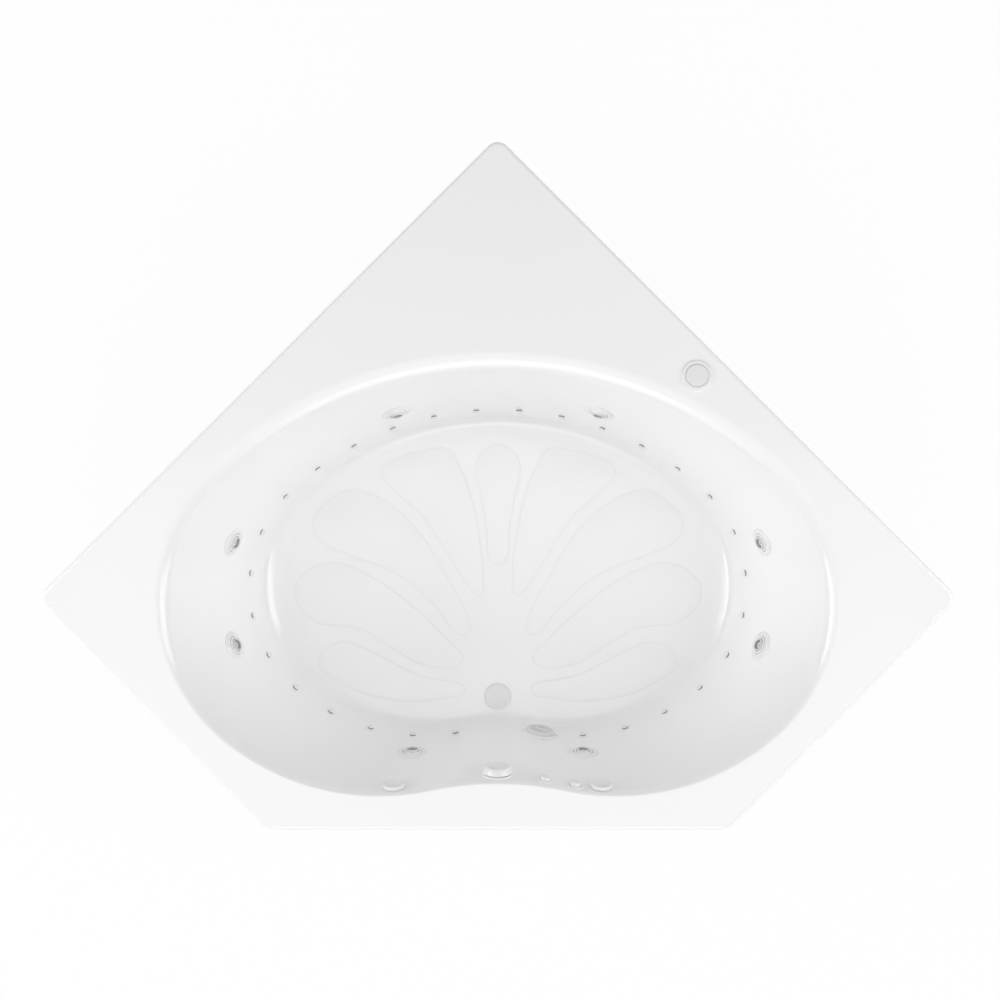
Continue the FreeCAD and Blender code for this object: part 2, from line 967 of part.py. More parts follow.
def suction_cover():
    """Low domed disc with radial slots and a hole for its screw."""
    low = suction_top
    high = low + suction_cover_height
    shape = rounded(disc(suction_cover_radius, low, high), suction_cover_height / 2, high)
    shape = shape.cut(disc(suction_cover_radius - suction_rib, low, high - suction_rib))
    shape = shape.fuse(disc(suction_boss, low, high))
    slot = Part.makeBox(
        suction_slot_outer - suction_slot_inner, suction_slot_width, suction_cover_height,
        V(suction_slot_inner, -suction_slot_width / 2, low))
    slots = [slot.rotated(V(), UP, 360.0 * step / suction_slots) for step in range(suction_slots)]
    shape = shape.cut(Part.makeCompound(slots))
    return shape.cut(disc(screw_radius + gap, low, high))


def suction_screw():
    low = suction_top + suction_cover_height
    high = low + screw_head_height
    head = rounded(disc(screw_head_radius, low, high), screw_head_height / 2, high)
    return head.fuse(disc(screw_radius, low - screw_length, low))


def suction_pipe():
    """Cup behind the wall and the pipe from it to the pump inlet."""
    place = suction_place()
    top = -skin - locknut_height - 2 * gap
    low = top - suction_cup_length
    socket = -suction_tube_length - gap
    middle = behind(place, (suction_cup_length - top + suction_tube_length) / 2)
    inlet = pump_point(-inlet_length, 0)
    knees = [inlet + V(x, y, 0) for x, y in suction_knees]
    points = [middle, lifted(middle, suction_pipe_level), lifted(knees[0], suction_pipe_level)]
    path = bent_path(points + knees[1:] + [inlet], suction_bend)
    outer = fused([put(disc(suction_cup_radius, low, top), place), sweep(path, suction_pipe_radius)])
    inner = fused([
        put(disc(suction_tube_radius + gap, socket, top), place),
        put(disc(suction_tube_bore, low + skin, socket), place),
        sweep(path, suction_pipe_bore)])
    return outer.cut(inner)


# Pump

pump_x = corner_x - pump_corner


def pump_point(along, rise):
    """Point on the pump, at a length from the volute's front face and a height over the shaft."""
    return V(pump_x, corner_y - pump_front + along, pump_level + rise)


def pumped(shape):
    """Turn a shape from its local Z to the pump's shaft."""
    turned = shape.rotated(V(), V(1, 0, 0), -90.0)
    return moved(turned, pump_point(0, 0))


def pump_volute():
    port_start = V(0, 0, volute_length / 2)
    port_end = port_start - V(0, discharge_port, 0)
    outer = fused([
        disc(volute_radius, 0, volute_length),
        disc(suction_pipe_radius + volute_wall, -inlet_length, 0),
        rod(water_pipe_radius + volute_wall, port_start, port_end)])
    inner = fused([
        disc(volute_radius - volute_wall, volute_wall, volute_length - volute_wall),
        disc(suction_pipe_bore, -inlet_length, volute_wall),
        disc(pump_shaft + 2 * gap, volute_length - volute_wall, volute_length),
        rod(water_pipe_bore, port_start, port_end)])
    return pumped(outer.cut(inner))


def pump_impeller():
    plate = volute_length - volute_wall - impeller_plate
    low = plate - impeller_length
    shape = [disc(impeller_radius, plate, plate + impeller_plate - 2 * gap)]
    shape += spokes(impeller_vanes, impeller_radius, vane_width, low, plate)
    shape.append(disc(pump_shaft, low, volute_length + pump_shaft_length))
    return pumped(fused(shape))


def pump_motor():
    """Motor with its shaft bore, terminal box and foot."""
    low = volute_length + gap
    high = low + motor_length
    foot_drop = pump_level - shelf_top
    foot_start = low + motor_length / 4
    shape = rounded(disc(motor_radius, low, high), motor_round, high)
    foot_corner = V(-motor_foot_width / 2, 0, foot_start)
    foot = Part.makeBox(motor_foot_width, foot_drop, motor_length / 2, foot_corner)
    box_rise = motor_radius + terminal_box_rise
    box_corner = V(-terminal_box_side / 2, -box_rise, foot_start)
    box = Part.makeBox(terminal_box_side, box_rise, terminal_box_side, box_corner)
    bore = disc(pump_shaft + gap, low, low + pump_shaft_length + 2 * gap)
    return pumped(fused([shape, foot, box]).cut(bore))


def discharge_point():
    """Place on the water manifold midway between the two side jets."""
    place = station(side_jet_run + side_jet_spacing / 2, jet_depth)
    return place.point + place.outward * jet_line


def discharge_pipe():
    start = pump_point(volute_length / 2, discharge_port)
    foot = lifted(discharge_point(), water_face)
    high = water_face + discharge_drop
    path = bent_path([start, lifted(start, high), lifted(foot, high), foot], discharge_bend)
    return piped(path, water_pipe_radius, water_pipe_bore)


# Blower

def blower_point(level):
    return V(-pump_x, corner_y, level)


def blower_housing():
    """Round housing with a boss for the fan, an outlet and air holes in its top."""
    port_start = V(0, 0, blower_port_rise)
    port_end = port_start + V(blower_radius + blower_port_length, 0, 0)
    outer = fused([disc(blower_radius, 0, blower_height), rod(blower_port, port_start, port_end)])
    inner = fused([
        disc(blower_radius - blower_wall, blower_wall, blower_height - blower_wall),
        rod(blower_port_bore, port_start, port_end)])
    boss_top = blower_wall + blower_boss_height
    boss = disc(blower_boss, 0, boss_top).cut(disc(fan_shaft + gap, blower_wall, boss_top))
    inlet = disc(blower_hole, 0, blower_height)
    inlets = [moved(inlet, unit(360.0 * step / fan_vanes) * blower_hole_circle) for step in range(fan_vanes)]
    top = Part.makeCompound(inlets).common(disc(blower_radius, blower_height - blower_wall, blower_height))
    shape = outer.cut(inner).cut(top).cut(disc(fan_shaft + gap, blower_wall, boss_top)).fuse(boss)
    return moved(shape, blower_point(shelf_top))


def blower_fan():
    low = blower_wall + blower_boss_height + gap
    shape = [disc(fan_radius, low, low + fan_plate)]
    shape += spokes(fan_vanes, fan_radius, fan_vane_width, low + fan_plate, low + fan_height)
    shape.append(disc(fan_shaft, low - fan_shaft_length, low + fan_height))
    return moved(fused(shape), blower_point(shelf_top))


def blower_feed():
    start = blower_point(channel_level) + V(blower_radius + blower_port_length, 0, 0)
    end = blower_branch()[1]
    return rod(blower_port, start, end).cut(rod(blower_port_bore, start, end))


# Overflow, drain and waste

def overflow_place():
    return front_station(0, overflow_depth)


overflow_top = overflow_flange_height - seat_cut
knob_low = overflow_top + knob_standoff


def overflow_flange():
    shape = rounded(disc(overflow_flange_radius, -seat_cut, overflow_top), trim_round, overflow_top)
    shape = shape.fuse(ring(overflow_tube_radius, overflow_tube_bore, -overflow_tube_length, -seat_cut))
    inlet = moved(disc(overflow_hole_radius, -seat_cut, overflow_top), V(overflow_hole_circle, 0, 0))
    holes = [inlet.rotated(V(), UP, 360.0 * step / overflow_holes) for step in range(overflow_holes)]
    return shape.cut(Part.makeCompound(holes)).cut(disc(overflow_shaft + gap, -seat_cut, overflow_top))


def overflow_knob():
    high = knob_low + overflow_knob_height
    shape = rounded(disc(overflow_knob_radius, knob_low, high), trim_round, high)
    return shape.fuse(disc(overflow_shaft, -overflow_shaft_length, knob_low))


def riser_point():
    """Axis of the overflow pipe."""
    return behind(overflow_place(), (overflow_cup_length + overflow_tube_length) / 2)


def elbow_low():
    return riser_point().z - overflow_cup_radius - 2 * socket_overlap


def overflow_elbow():
    """Cup behind the overflow with a socket pointing down."""
    place = overflow_place()
    top = -skin - overflow_back_gap
    low = top - overflow_cup_length
    stop = -overflow_tube_length - gap
    axis = riser_point()
    outer = fused([
        put(disc(overflow_cup_radius, low, top), place),
        upright(waste_socket, axis, elbow_low())])
    inner = fused([
        put(disc(overflow_tube_radius + gap, stop, top), place),
        put(disc(overflow_tube_bore, low + skin, stop), place),
        upright(waste_pipe_bore, axis, elbow_low()),
        upright(waste_pipe_radius + gap, lifted(axis, elbow_low() + socket_overlap), elbow_low())])
    return outer.cut(inner)


def upright_pipe(axis, low, high):
    return moved(ring(waste_pipe_radius, waste_pipe_bore, low, high), lifted(axis, 0))


def overflow_pipe():
    return upright_pipe(riser_point(), tee_high - socket_overlap + gap, elbow_low() + socket_overlap - gap)


def tailpiece():
    """Outlet pipe with a bead that stops against the tee."""
    pipe = upright_pipe(riser_point(), tailpiece_low, tee_low + socket_overlap - gap)
    bead = ring(waste_socket, waste_pipe_bore, tee_low - bead_height, tee_low)
    return fused([pipe, moved(bead, lifted(riser_point(), 0))])


drain_point = V(0, front_y + drain_front, floor_level)
drain_port_end = drain_point.y - drain_cup_radius - socket_overlap


def waste_tee():
    """Upright tee with a socket at each end and a level pipe to the drain."""
    axis = riser_point()
    start = lifted(axis, drain_pipe_level)
    end = V(start.x, drain_port_end + socket_overlap - gap, drain_pipe_level)
    outer = fused([
        moved(disc(waste_socket, tee_low, tee_high), lifted(axis, 0)),
        rod(waste_pipe_radius, start, end)])
    inner = fused([
        moved(disc(waste_pipe_bore, tee_low, tee_high), lifted(axis, 0)),
        moved(disc(waste_pipe_radius + gap, tee_low, tee_low + socket_overlap), lifted(axis, 0)),
        moved(disc(waste_pipe_radius + gap, tee_high - socket_overlap, tee_high), lifted(axis, 0)),
        rod(waste_pipe_bore, start, end)])
    return outer.cut(inner)


drain_top = drain_flange_height - seat_cut


def drain_flange():
    """Flange, tube, and a spider that guides the plug's stem."""
    shape = rounded(disc(drain_flange_radius, -seat_cut, drain_top), drain_flange_height / 2, drain_top)
    shape = shape.fuse(disc(drain_tube_radius, -drain_tube_length, -seat_cut))
    shape = shape.cut(disc(drain_tube_bore, -drain_tube_length, drain_top))
    low = -skin - drain_spoke_height
    reach = (drain_tube_radius + drain_tube_bore) / 2
    spider = fused([disc(drain_hub, low, -skin)] + spokes(3, reach, drain_spoke, low, -skin))
    shape = fused([shape, spider]).cut(disc(plug_stem + gap, low, -skin))
    return moved(shape, drain_point)


def drain_plug():
    low = drain_top + gap
    shape = rounded(disc(plug_radius, low, low + plug_height), trim_round, low + plug_height)
    return moved(shape.fuse(disc(plug_stem, -plug_stem_length, low)), drain_point)


def drain_body():
    """Collar and cup under the floor, with a socket towards the front."""
    top = -skin - gap
    low = top - drain_cup_depth
    stop = -drain_tube_length - gap
    start = V(0, 0, drain_pipe_level - floor_level)
    end = V(0, drain_port_end - drain_point.y, start.z)
    outer = fused([
        disc(drain_collar_radius, top - drain_collar_height, top),
        disc(drain_cup_radius, low, top),
        rod(waste_socket, start, end)])
    inner = fused([
        disc(drain_tube_radius + gap, stop, top),
        disc(drain_tube_bore, low + skin, stop),
        rod(waste_pipe_bore, start, end),
        rod(waste_pipe_radius + gap, end + V(0, socket_overlap, 0), end)])
    return moved(outer.cut(inner), drain_point)


def drain_cable():
    """Cable beside the overflow pipe, from the elbow to the drain cup."""
    side = waste_socket + cable_radius + gap
    start = lifted(riser_point(), elbow_low() + socket_overlap) + V(side, 0, 0)
    corner = lifted(start, drain_pipe_level)
    inset = math.sqrt(drain_cup_radius ** 2 - (side - cable_radius) ** 2)
    end = V(side, drain_point.y - inset - gap, drain_pipe_level)
    return sweep(bent_path([start, corner, end], cable_bend), cable_radius)


# Air regulators and buttons

def regulator_places():
    return [front_station(side * regulator_run, regulator_depth) for side in (-1, 1)]


def regulator_body():
    top = regulator_base_height - seat_cut
    shape = disc(regulator_base_radius, -seat_cut, top)
    shape = shape.fuse(disc(regulator_tube_radius, -regulator_tube_length, -seat_cut))
    return shape.cut(disc(regulator_tube_bore, -regulator_tube_length, top))


def regulator_knob():
    """Cap over the regulator's base, on a pivot in its bore."""
    base_top = regulator_base_height - seat_cut + gap
    high = base_top + regulator_knob_height
    skirt = base_top - regulator_base_height / 2
    shape = rounded(disc(regulator_radius, skirt, high), trim_round, high)
    shape = shape.cut(disc(regulator_base_radius + gap, skirt, base_top))
    pivot = regulator_tube_bore - gap
    return shape.fuse(disc(pivot, base_top - regulator_pivot_length, base_top))


def button_places():
    return [front_station(run, button_depth) for run in button_runs]


def bezel(radius, height, tube, bore, low):
    """Flange with a closed tube that holds a button; its flange sits on a level."""
    high = low + height
    shape = rounded(disc(radius, low, high), trim_round, high)
    shape = shape.fuse(disc(tube, low - button_tube_length, low))
    return shape.cut(disc(bore, low - button_tube_length + button_floor, high))


def button(radius, height, bezel_top):
    """Button that stands a little proud of its bezel."""
    high = bezel_top + button_travel / 2
    return rounded(disc(radius, high - height, high), trim_round, high)


deck_button_point = V(deck_button_x, apex_y - deck_button_back, tub_height)


def wall_bezel():
    bore = button_radius + gap
    return bezel(button_bezel_radius, button_bezel_height, button_tube_radius, bore, -seat_cut)


def wall_button():
    return button(button_radius, button_height, button_bezel_height - seat_cut)


def deck_bezel():
    shape = bezel(deck_bezel_radius, deck_bezel_height, deck_tube_radius, deck_button_radius + gap, 0)
    return moved(shape, deck_button_point)


def deck_button():
    return moved(button(deck_button_radius, deck_button_height, deck_bezel_height), deck_button_point)


# Shell with its holes

def tub_shell():
    jet_hole = hole(jet_tube_radius + hole_gap, jet_flange_radius + hole_gap, seat_cut)
    injector_bore = hole(injector_stem + gap, injector_radius + hole_gap, injector_seat)
    suction_hole = hole(suction_tube_radius + hole_gap, suction_flange_radius + hole_gap, seat_cut)
    overflow_hole = hole(overflow_tube_radius + hole_gap, overflow_flange_radius + hole_gap, seat_cut)
    regulator_hole = hole(regulator_tube_radius + hole_gap, regulator_base_radius + hole_gap, seat_cut)
    button_hole = hole(button_tube_radius + hole_gap, button_bezel_radius + hole_gap, seat_cut)
    drain_hole = hole(drain_tube_radius + hole_gap, drain_flange_radius + hole_gap, seat_cut)
    cutters = [put(jet_hole, place) for place in jet_places()]
    cutters += [put(injector_bore, place) for place in injector_places()]
    cutters += [put(regulator_hole, place) for place in regulator_places()]
    cutters += [put(button_hole, place) for place in button_places()]
    cutters.append(put(suction_hole, suction_place()))
    cutters.append(put(overflow_hole, overflow_place()))
    cutters.append(moved(drain_hole, drain_point))
    cutters.append(moved(disc(deck_tube_radius + hole_gap, -hole_reach, seat_reach), deck_button_point))
    return tub_blank().cut(Part.makeCompound(cutters))


# Frame, feet, board and shelves

post_inset = skin + post_gap + tube_size / 2


def post_places():
    """Middle of each post and the angle it is turned to, clockwise from the wall corner."""
    apex, side, front = [corner_centre(corner, post_inset, *facings) for corner, *facings in deck_corners()]
    turned = right_wall_facing
    return [(apex, turned), (side, turned), (front, 0.0), (mirrored(front), 0.0), (mirrored(side), turned)]


def post(point, turn, size):
    shape = bar(size, size, foot_height, tub_height - skin)
    return moved(shape.rotated(V(), UP, turn), point)


def rail(start, end, size):
    """Level square bar between two points, with its middle at the rails' middle level."""
    length = (end - start).Length
    shape = Part.makeBox(length, size, size, V(0, -size / 2, -size / 2))
    heading = math.degrees(math.atan2(end.y - start.y, end.x - start.x))
    return moved(shape.rotated(V(), UP, heading), lifted(start, foot_height + tube_size / 2))


def frame():
    """Posts and rails as hollow square tubes; each rail is trimmed to what it meets."""
    inside = tube_size - 2 * tube_wall
    places = post_places()
    posts = [post(point, turn, tube_size) for point, turn in places]
    tubes = [post(point, turn, tube_size).cut(post(point, turn, inside)) for point, turn in places]
    corners = [point for point, turn in places]
    lines = list(zip(corners, corners[1:] + corners[:1]))
    front_line = corners[2].y
    for side in (1, -1):
        across = side * floor_rail_x
        back = corners[0].y - floor_rail_x
        lines.append((V(across, front_line, 0), V(across, back, 0)))
    for side in (1, -1):
        lines.append((V(side * floor_rail_x, corner_y, 0), V(side * corners[1].x, corner_y, 0)))
    stops = list(posts)
    rails = []
    for start, end in lines:
        solid = rail(start, end, tube_size)
        tube = solid.cut(rail(start, end, inside)).cut(Part.makeCompound(stops))
        rails.append(max(tube.Solids, key=lambda piece: piece.Volume))
        stops.append(solid)
    return tubes, rails


def foot_points():
    points = [point for point, turn in post_places()]
    points += [V(side * floor_rail_x, y, 0) for side in (1, -1) for y in rail_feet]
    return points


def foot_nut():
    plate_low = foot_height - foot_plate
    low = plate_low - nut_height
    shape = disc(tube_size / 2, plate_low, foot_height).fuse(prism(6, nut_radius, low, plate_low))
    return shape.cut(disc(stem_radius + gap, low, foot_height))


def leveling_foot():
    return rounded(disc(pad_radius, 0, pad_height), trim_round, pad_height).fuse(
        disc(stem_radius, pad_height, foot_height - gap))


def floor_board():
    """Board under the well floor, open round the drain."""
    shape = Part.Face(loop_wire(cove_floor_loop(board_inset), rail_top)).extrude(UP * board_thickness)
    opening = disc(drain_collar_radius + board_drain_gap, rail_top, rail_top + board_thickness)
    return shape.cut(moved(opening, lifted(drain_point, 0)))


def equipment_shelves():
    width = shelf_inner + shelf_outer
    right = Part.makeBox(
        width, 2 * shelf_half_length, shelf_thickness,
        V(pump_x - shelf_inner, corner_y - shelf_half_length, rail_top))
    left = right.mirror(V(), V(1, 0, 0))
    back = bar(box_shelf_width, box_shelf_depth, rail_top, shelf_top)
    return [right, left, moved(back, V(0, apex_y - box_back, 0))]


def control_box():
    """Box open at the bottom, with a gland for its supply on the right side."""
    shape = bar(box_width, box_depth, 0, box_height)
    shape = shape.cut(bar(box_width - 2 * box_wall, box_depth - 2 * box_wall, 0, box_height - box_wall))
    start = V(box_width / 2 - box_wall, 0, box_height / 2)
    end = start + V(box_wall + gland_length, 0, 0)
    shape = shape.fuse(rod(gland_radius, start, end)).cut(rod(gland_bore, start, end))
    return moved(shape, V(0, apex_y - box_back, shelf_top))


def build():
    os.makedirs("parts", exist_ok=True)
    jets = jet_places()
    regulators = regulator_places()
    buttons = button_places()
    save("tub_shell", tub_shell())
    posts, rails = frame()
    save("frame_posts", *posts)
    save("frame_rails", *rails)
    save("foot_nuts", *[moved(foot_nut(), point) for point in foot_points()])
    save("leveling_feet", *[moved(leveling_foot(), point) for point in foot_points()])
    save("floor_board", floor_board())
    save("equipment_shelves", *equipment_shelves())

    save("jet_flanges", *[put(jet_flange(), place) for place in jets])
    save("jet_bodies", *[jet_body(place) for place in jets])
    seals = [put(flat_seal(jet_flange_radius, jet_tube_radius), place) for place in jets]
    seals.append(put(flat_seal(suction_flange_radius, suction_tube_radius), suction_place()))
    save("gaskets", *seals)
    nuts = [put(locknut(locknut_radius, jet_tube_radius), place) for place in jets]
    nuts.append(put(locknut(locknut_radius, suction_tube_radius), suction_place()))
    nuts += [put(locknut(small_nut_radius, regulator_tube_radius), place) for place in regulators]
    nuts += [put(locknut(small_nut_radius, button_tube_radius), place) for place in buttons]
    nuts.append(moved(locknut(locknut_radius, deck_tube_radius), deck_button_point))
    save("locknuts", *nuts)
    for number, place in enumerate(jets, 1):
        save("jet_ring_%d" % number, put(jet_ring(), place))
        save("jet_nozzle_%d" % number, put(jet_nozzle(), place))
    save("water_manifold", water_manifold())
    save("air_line", air_line())
    save("air_channel", air_channel())
    save("air_injectors", *[put(air_injector(), place) for place in injector_places()])

    save("suction_body", put(suction_body(), suction_place()))
    save("suction_cover", put(suction_cover(), suction_place()))
    save("suction_screw", put(suction_screw(), suction_place()))
    save("suction_pipe", suction_pipe())
    save("pump_volute", pump_volute())
    save("pump_impeller", pump_impeller())
    save("pump_motor", pump_motor())
    save("discharge_pipe", discharge_pipe())
    save("blower_housing", blower_housing())
    save("blower_fan", blower_fan())
    save("blower_feed", blower_feed())
    save("control_box", control_box())

    save("overflow_flange", put(overflow_flange(), overflow_place()))
    save("overflow_knob", put(overflow_knob(), overflow_place()))
    save("overflow_elbow", overflow_elbow())
    save("overflow_pipe", overflow_pipe())
    save("waste_tee", waste_tee())
    save("tailpiece", tailpiece())
    save("drain_flange", drain_flange())
    save("drain_plug", drain_plug())
    save("drain_body", drain_body())
    save("drain_cable", drain_cable())

    save("air_control_bodies", *[put(regulator_body(), place) for place in regulators])
    for name, place in zip(("left", "right"), regulators):
        save("air_control_knob_" + name, put(regulator_knob(), place))
    save("button_bezels", *[put(wall_bezel(), place) for place in buttons], deck_bezel())
    for name, place in zip(("pump", "blower"), buttons):
        save(name + "_button", put(wall_button(), place))
    save("deck_button", deck_button())


if __name__ == "__main__":
    build()
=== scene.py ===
"""Looks of a white corner bathtub with water jets and air injectors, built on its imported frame."""
import bmesh
import bpy
import math
from collections import namedtuple
from mathutils import Matrix, Vector


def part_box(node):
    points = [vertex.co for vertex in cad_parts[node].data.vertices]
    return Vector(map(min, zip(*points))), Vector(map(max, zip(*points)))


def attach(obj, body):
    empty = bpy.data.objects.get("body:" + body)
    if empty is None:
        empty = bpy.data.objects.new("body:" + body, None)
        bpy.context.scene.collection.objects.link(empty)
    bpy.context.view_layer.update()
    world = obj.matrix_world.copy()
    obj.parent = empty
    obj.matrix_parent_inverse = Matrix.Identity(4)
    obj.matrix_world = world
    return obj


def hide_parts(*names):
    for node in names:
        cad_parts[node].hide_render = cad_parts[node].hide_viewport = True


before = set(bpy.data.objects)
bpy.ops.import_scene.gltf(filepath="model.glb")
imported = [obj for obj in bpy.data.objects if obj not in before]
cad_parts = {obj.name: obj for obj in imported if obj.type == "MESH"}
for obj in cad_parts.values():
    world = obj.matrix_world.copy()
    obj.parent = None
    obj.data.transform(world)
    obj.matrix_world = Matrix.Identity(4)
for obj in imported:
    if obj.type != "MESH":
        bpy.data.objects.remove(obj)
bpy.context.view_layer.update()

bl_info = {
    "name": "Jetted Corner Bathtub",
    "version": (1, 0, 0),
    "blender": (4, 5, 0),
    "location": "3D View > Sidebar > Bathtub",
    "description": "Builds the shell, fittings, plumbing and stage of a jetted corner bathtub",
    "category": "Object",
}

# Metres. +Z is up, +Y points to the wall corner, +X to the right seen from the front.
shell_low, shell_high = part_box("tub_shell")
tub_height = shell_high.z
mm = 0.001
UP = Vector((0, 0, 1))

# Deck: a square with its front corner cut off
side_length = 1.524
front_cut = 0.762
wall_corner_round = 0.032
front_corner_round = 0.055
edge_round = 0.010
diagonal = math.sqrt(2)
corner_x = side_length / diagonal
apex_y = shell_high.y + wall_corner_round * (diagonal - 1)
corner_y = apex_y - corner_x
front_x = front_cut / diagonal
front_y = shell_low.y

# Equipment under the deck
shelf_top = 0.102
pump_shaft_level = 0.192
motor_fins = 40
fan_cover_spokes = 12
volute_ribs = 8
blower_ribs = 32
blower_lugs = 4

# Outline of the well: half width, back, front lobes, and the front middle that bows in
Outline = namedtuple("Outline", "half_width back lobe dip")
rim = Outline(0.77603, 0.27804, -0.71801, -0.68901)
floor = Outline(0.61303, 0.18404, -0.62701, -0.60901)
roll = Outline(rim.half_width + 0.022, rim.back + 0.036, rim.lobe - 0.005, rim.dip - 0.005)
flat_floor = Outline(floor.half_width - 0.047, floor.back - 0.035, floor.lobe + 0.014, floor.dip + 0.014)

# Each half of an outline is four arcs: outward directions at their ends, in degrees from +X, and steps
turns = (90.0, 48.0, -51.0, -102.0, -90.0)
arc_steps = (40, 60, 44, 12)

# Rounded rim and cove, weight of a rounded edge's middle point, width of the strip beside it, and steps
roll_height = 0.026
cove_height = 0.030
blend_weight = 0.78
support = 0.003
edge_steps = 6
roll_steps = 9
wall_steps = 24
cove_steps = 11

# Fittings in the wall: lengths along it from the back or front middle, and depths below the deck
jet_depth = 0.258
jet_runs = (0.259, 0.799, 1.065)
front_jet_run = 0.216
injector_depth = 0.380
injector_stations = 31
suction_depth = 0.374
suction_run = 0.111
overflow_depth = 0.050
regulator_depth = 0.041
regulator_run = 0.246
button_depth = 0.034
button_runs = (0.112, 0.183)
suction_blades = 24

# Radii of the shell's holes in millimetres
wall_fitting_hole = 30
button_hole = 15.8
deck_button_hole = 29.4
drain_hole = 26.5

# Grip of the jet rings: scallops, their depth as a share of the radius, and where they begin in millimetres
ring_scallops = 9
scallop_depth = 0.02
scallop_level = 4.5
scallop_radius = 20

# Angles in degrees above which edges are rounded, or show as sharp
bevel_angle = 30.0
sharp_angle = 35.0
shell_sharp_angle = 28.0

# Stage
ground_reach = 30.0
ground_tone = 0.98
ground_glow = 0.94
dome_strength = 0.31
camera_lens = 50.0
camera_sensor = 36.0
camera_point = (0.00565, -0.0329, tub_height + 3.2296)

# Lamps: place, point they face, width and height, and brightness
lamp_aim = (0, -0.2, 0.4)
lamps = {
    "overhead": ((0, -1.0, 5.0), (0, -1.0, 0), (4.66, 2.4), 0.54),
    "front high": ((0, -4.4, 4.4), lamp_aim, (3.0, 2.5), 1.63),
    "front low": ((0, -4.8, 2.3), lamp_aim, (4.5, 2.0), 1.12),
    "left high": ((-4.0, -0.2, 4.4), lamp_aim, (2.5, 2.5), 2.1),
    "left low": ((-4.6, -0.3, 2.3), lamp_aim, (3.5, 2.0), 3.8),
    "right high": ((4.0, -0.2, 4.4), lamp_aim, (2.5, 2.5), 3.15),
    "right low": ((4.6, -0.3, 2.3), lamp_aim, (3.5, 2.0), 2.55),
}

Arc = namedtuple("Arc", "centre radius start sweep")
Place = namedtuple("Place", "point normal outward")


def unit(degrees):
    """Level direction at an angle from +X."""
    turn = math.radians(degrees)
    return Vector((math.cos(turn), math.sin(turn), 0))


def settings():
    return bpy.context.scene.bathtub_sizes


def finishes():
    return bpy.context.scene.bathtub_finishes


# Outlines

def outline_arcs(shape):
    """The four arcs of an outline's right half, from the back middle to the front middle."""
    x = [unit(turn).x for turn in turns]
    y = [unit(turn).y for turn in turns]
    rows = Matrix((
        (x[1], 1 - x[1], 0, 0),
        (y[1] - y[0], y[2] - y[1], -1 - y[2], 0),
        [x[i + 1] - x[i] for i in range(4)],
        [y[i + 1] - y[i] for i in range(4)],
    ))
    radii = rows.inverted() @ Vector((shape.half_width, shape.lobe - shape.back, 0, shape.dip - shape.back))
    centre = Vector((0, shape.back - radii[0], 0))
    arcs = []
    for index, radius in enumerate(radii):
        if index:
            centre = centre + unit(turns[index]) * (radii[index - 1] - radius)
        arcs.append(Arc(centre, radius, turns[index], turns[index + 1] - turns[index]))
    return arcs


def arc_length(arc):
    return abs(arc.radius * math.radians(arc.sweep))


def mixed(a, b, share):
    return Outline(*[p + (q - p) * share for p, q in zip(a, b)])


def wall(depth):
    """Outline of the well's wall at a depth below the deck."""
    return mixed(rim, floor, depth / settings().well_depth)


def rounding_weights(share):
    """Weights of the three points of a rounded edge, at a share of its way."""
    weights = ((1 - share) ** 2, 2 * blend_weight * share * (1 - share), share ** 2)
    return [weight / sum(weights) for weight in weights]


def blended(rows, share):
    """Outline and level on a rounded edge through three outlines with their levels."""
    weights = rounding_weights(share)
    shape = Outline(*[sum(weight * row[0][i] for weight, row in zip(weights, rows)) for i in range(4)])
    return shape, sum(weight * row[1] for weight, row in zip(weights, rows))


def station(run, depth):
    """Place on the wall at a length from the back middle, positive to the right, and a depth."""
    left = abs(run)
    arcs = outline_arcs(wall(depth))
    index = 0
    while left > arc_length(arcs[index]) and index < len(arcs) - 1:
        left -= arc_length(arcs[index])
        index += 1
    arc = arcs[index]
    outward = unit(arc.start + arc.sweep * left / arc_length(arc))
    point = arc.centre + outward * arc.radius
    upper = outline_arcs(rim)[index]
    lower = outline_arcs(floor)[index]
    lean = (upper.centre - lower.centre).dot(outward) + upper.radius - lower.radius
    point.z = tub_height - depth
    if run < 0:
        point.x = -point.x
        outward.x = -outward.x
    normal = (UP * lean - outward * settings().well_depth).normalized()
    return Place(point, normal, outward)


def half_length(depth):
    """Length of the wall's outline from the back middle to the front middle."""
    return sum(arc_length(arc) for arc in outline_arcs(wall(depth)))


def front_station(run, depth):
    """Place on the wall at a length from the front middle, positive to the right."""
    if run < 0:
        return station(-half_length(depth) - run, depth)
    return station(half_length(depth) - run, depth)


def seat(place):
    """Matrix with local Z into the well and local Y up the wall."""
    across = Vector((place.outward.y, -place.outward.x, 0))
    upward = place.normal.cross(across)
    turn = Matrix((across, upward, place.normal)).transposed().to_4x4()
    return Matrix.Translation(place.point) @ turn


# Mesh tools

def new_verts(bm, known):
    return [vert for vert in bm.verts if vert not in known]


def loop_edges(verts):
    return list(dict.fromkeys(edge for vert in verts for edge in vert.link_edges))


def well_loop(bm, shape, level):
    """Closed outline of the well, spun arc by arc."""
    known = set(bm.verts)
    vert = bm.verts.new((0, shape.back, level))
    arcs = zip(outline_arcs(shape), arc_steps)
    half = [(arc.centre, math.radians(arc.sweep), steps) for arc, steps in arcs]
    left_half = [(Vector((-centre.x, centre.y, 0)), sweep, steps) for centre, sweep, steps in reversed(half)]
    for centre, sweep, steps in half + left_half:
        made = bmesh.ops.spin(
            bm, geom=[vert], cent=(centre.x, centre.y, level), axis=UP, angle=sweep, steps=steps)
        vert = made["geom_last"][0]
    bmesh.ops.remove_doubles(bm, verts=new_verts(bm, known), dist=support / 100)
    return loop_edges(new_verts(bm, known))


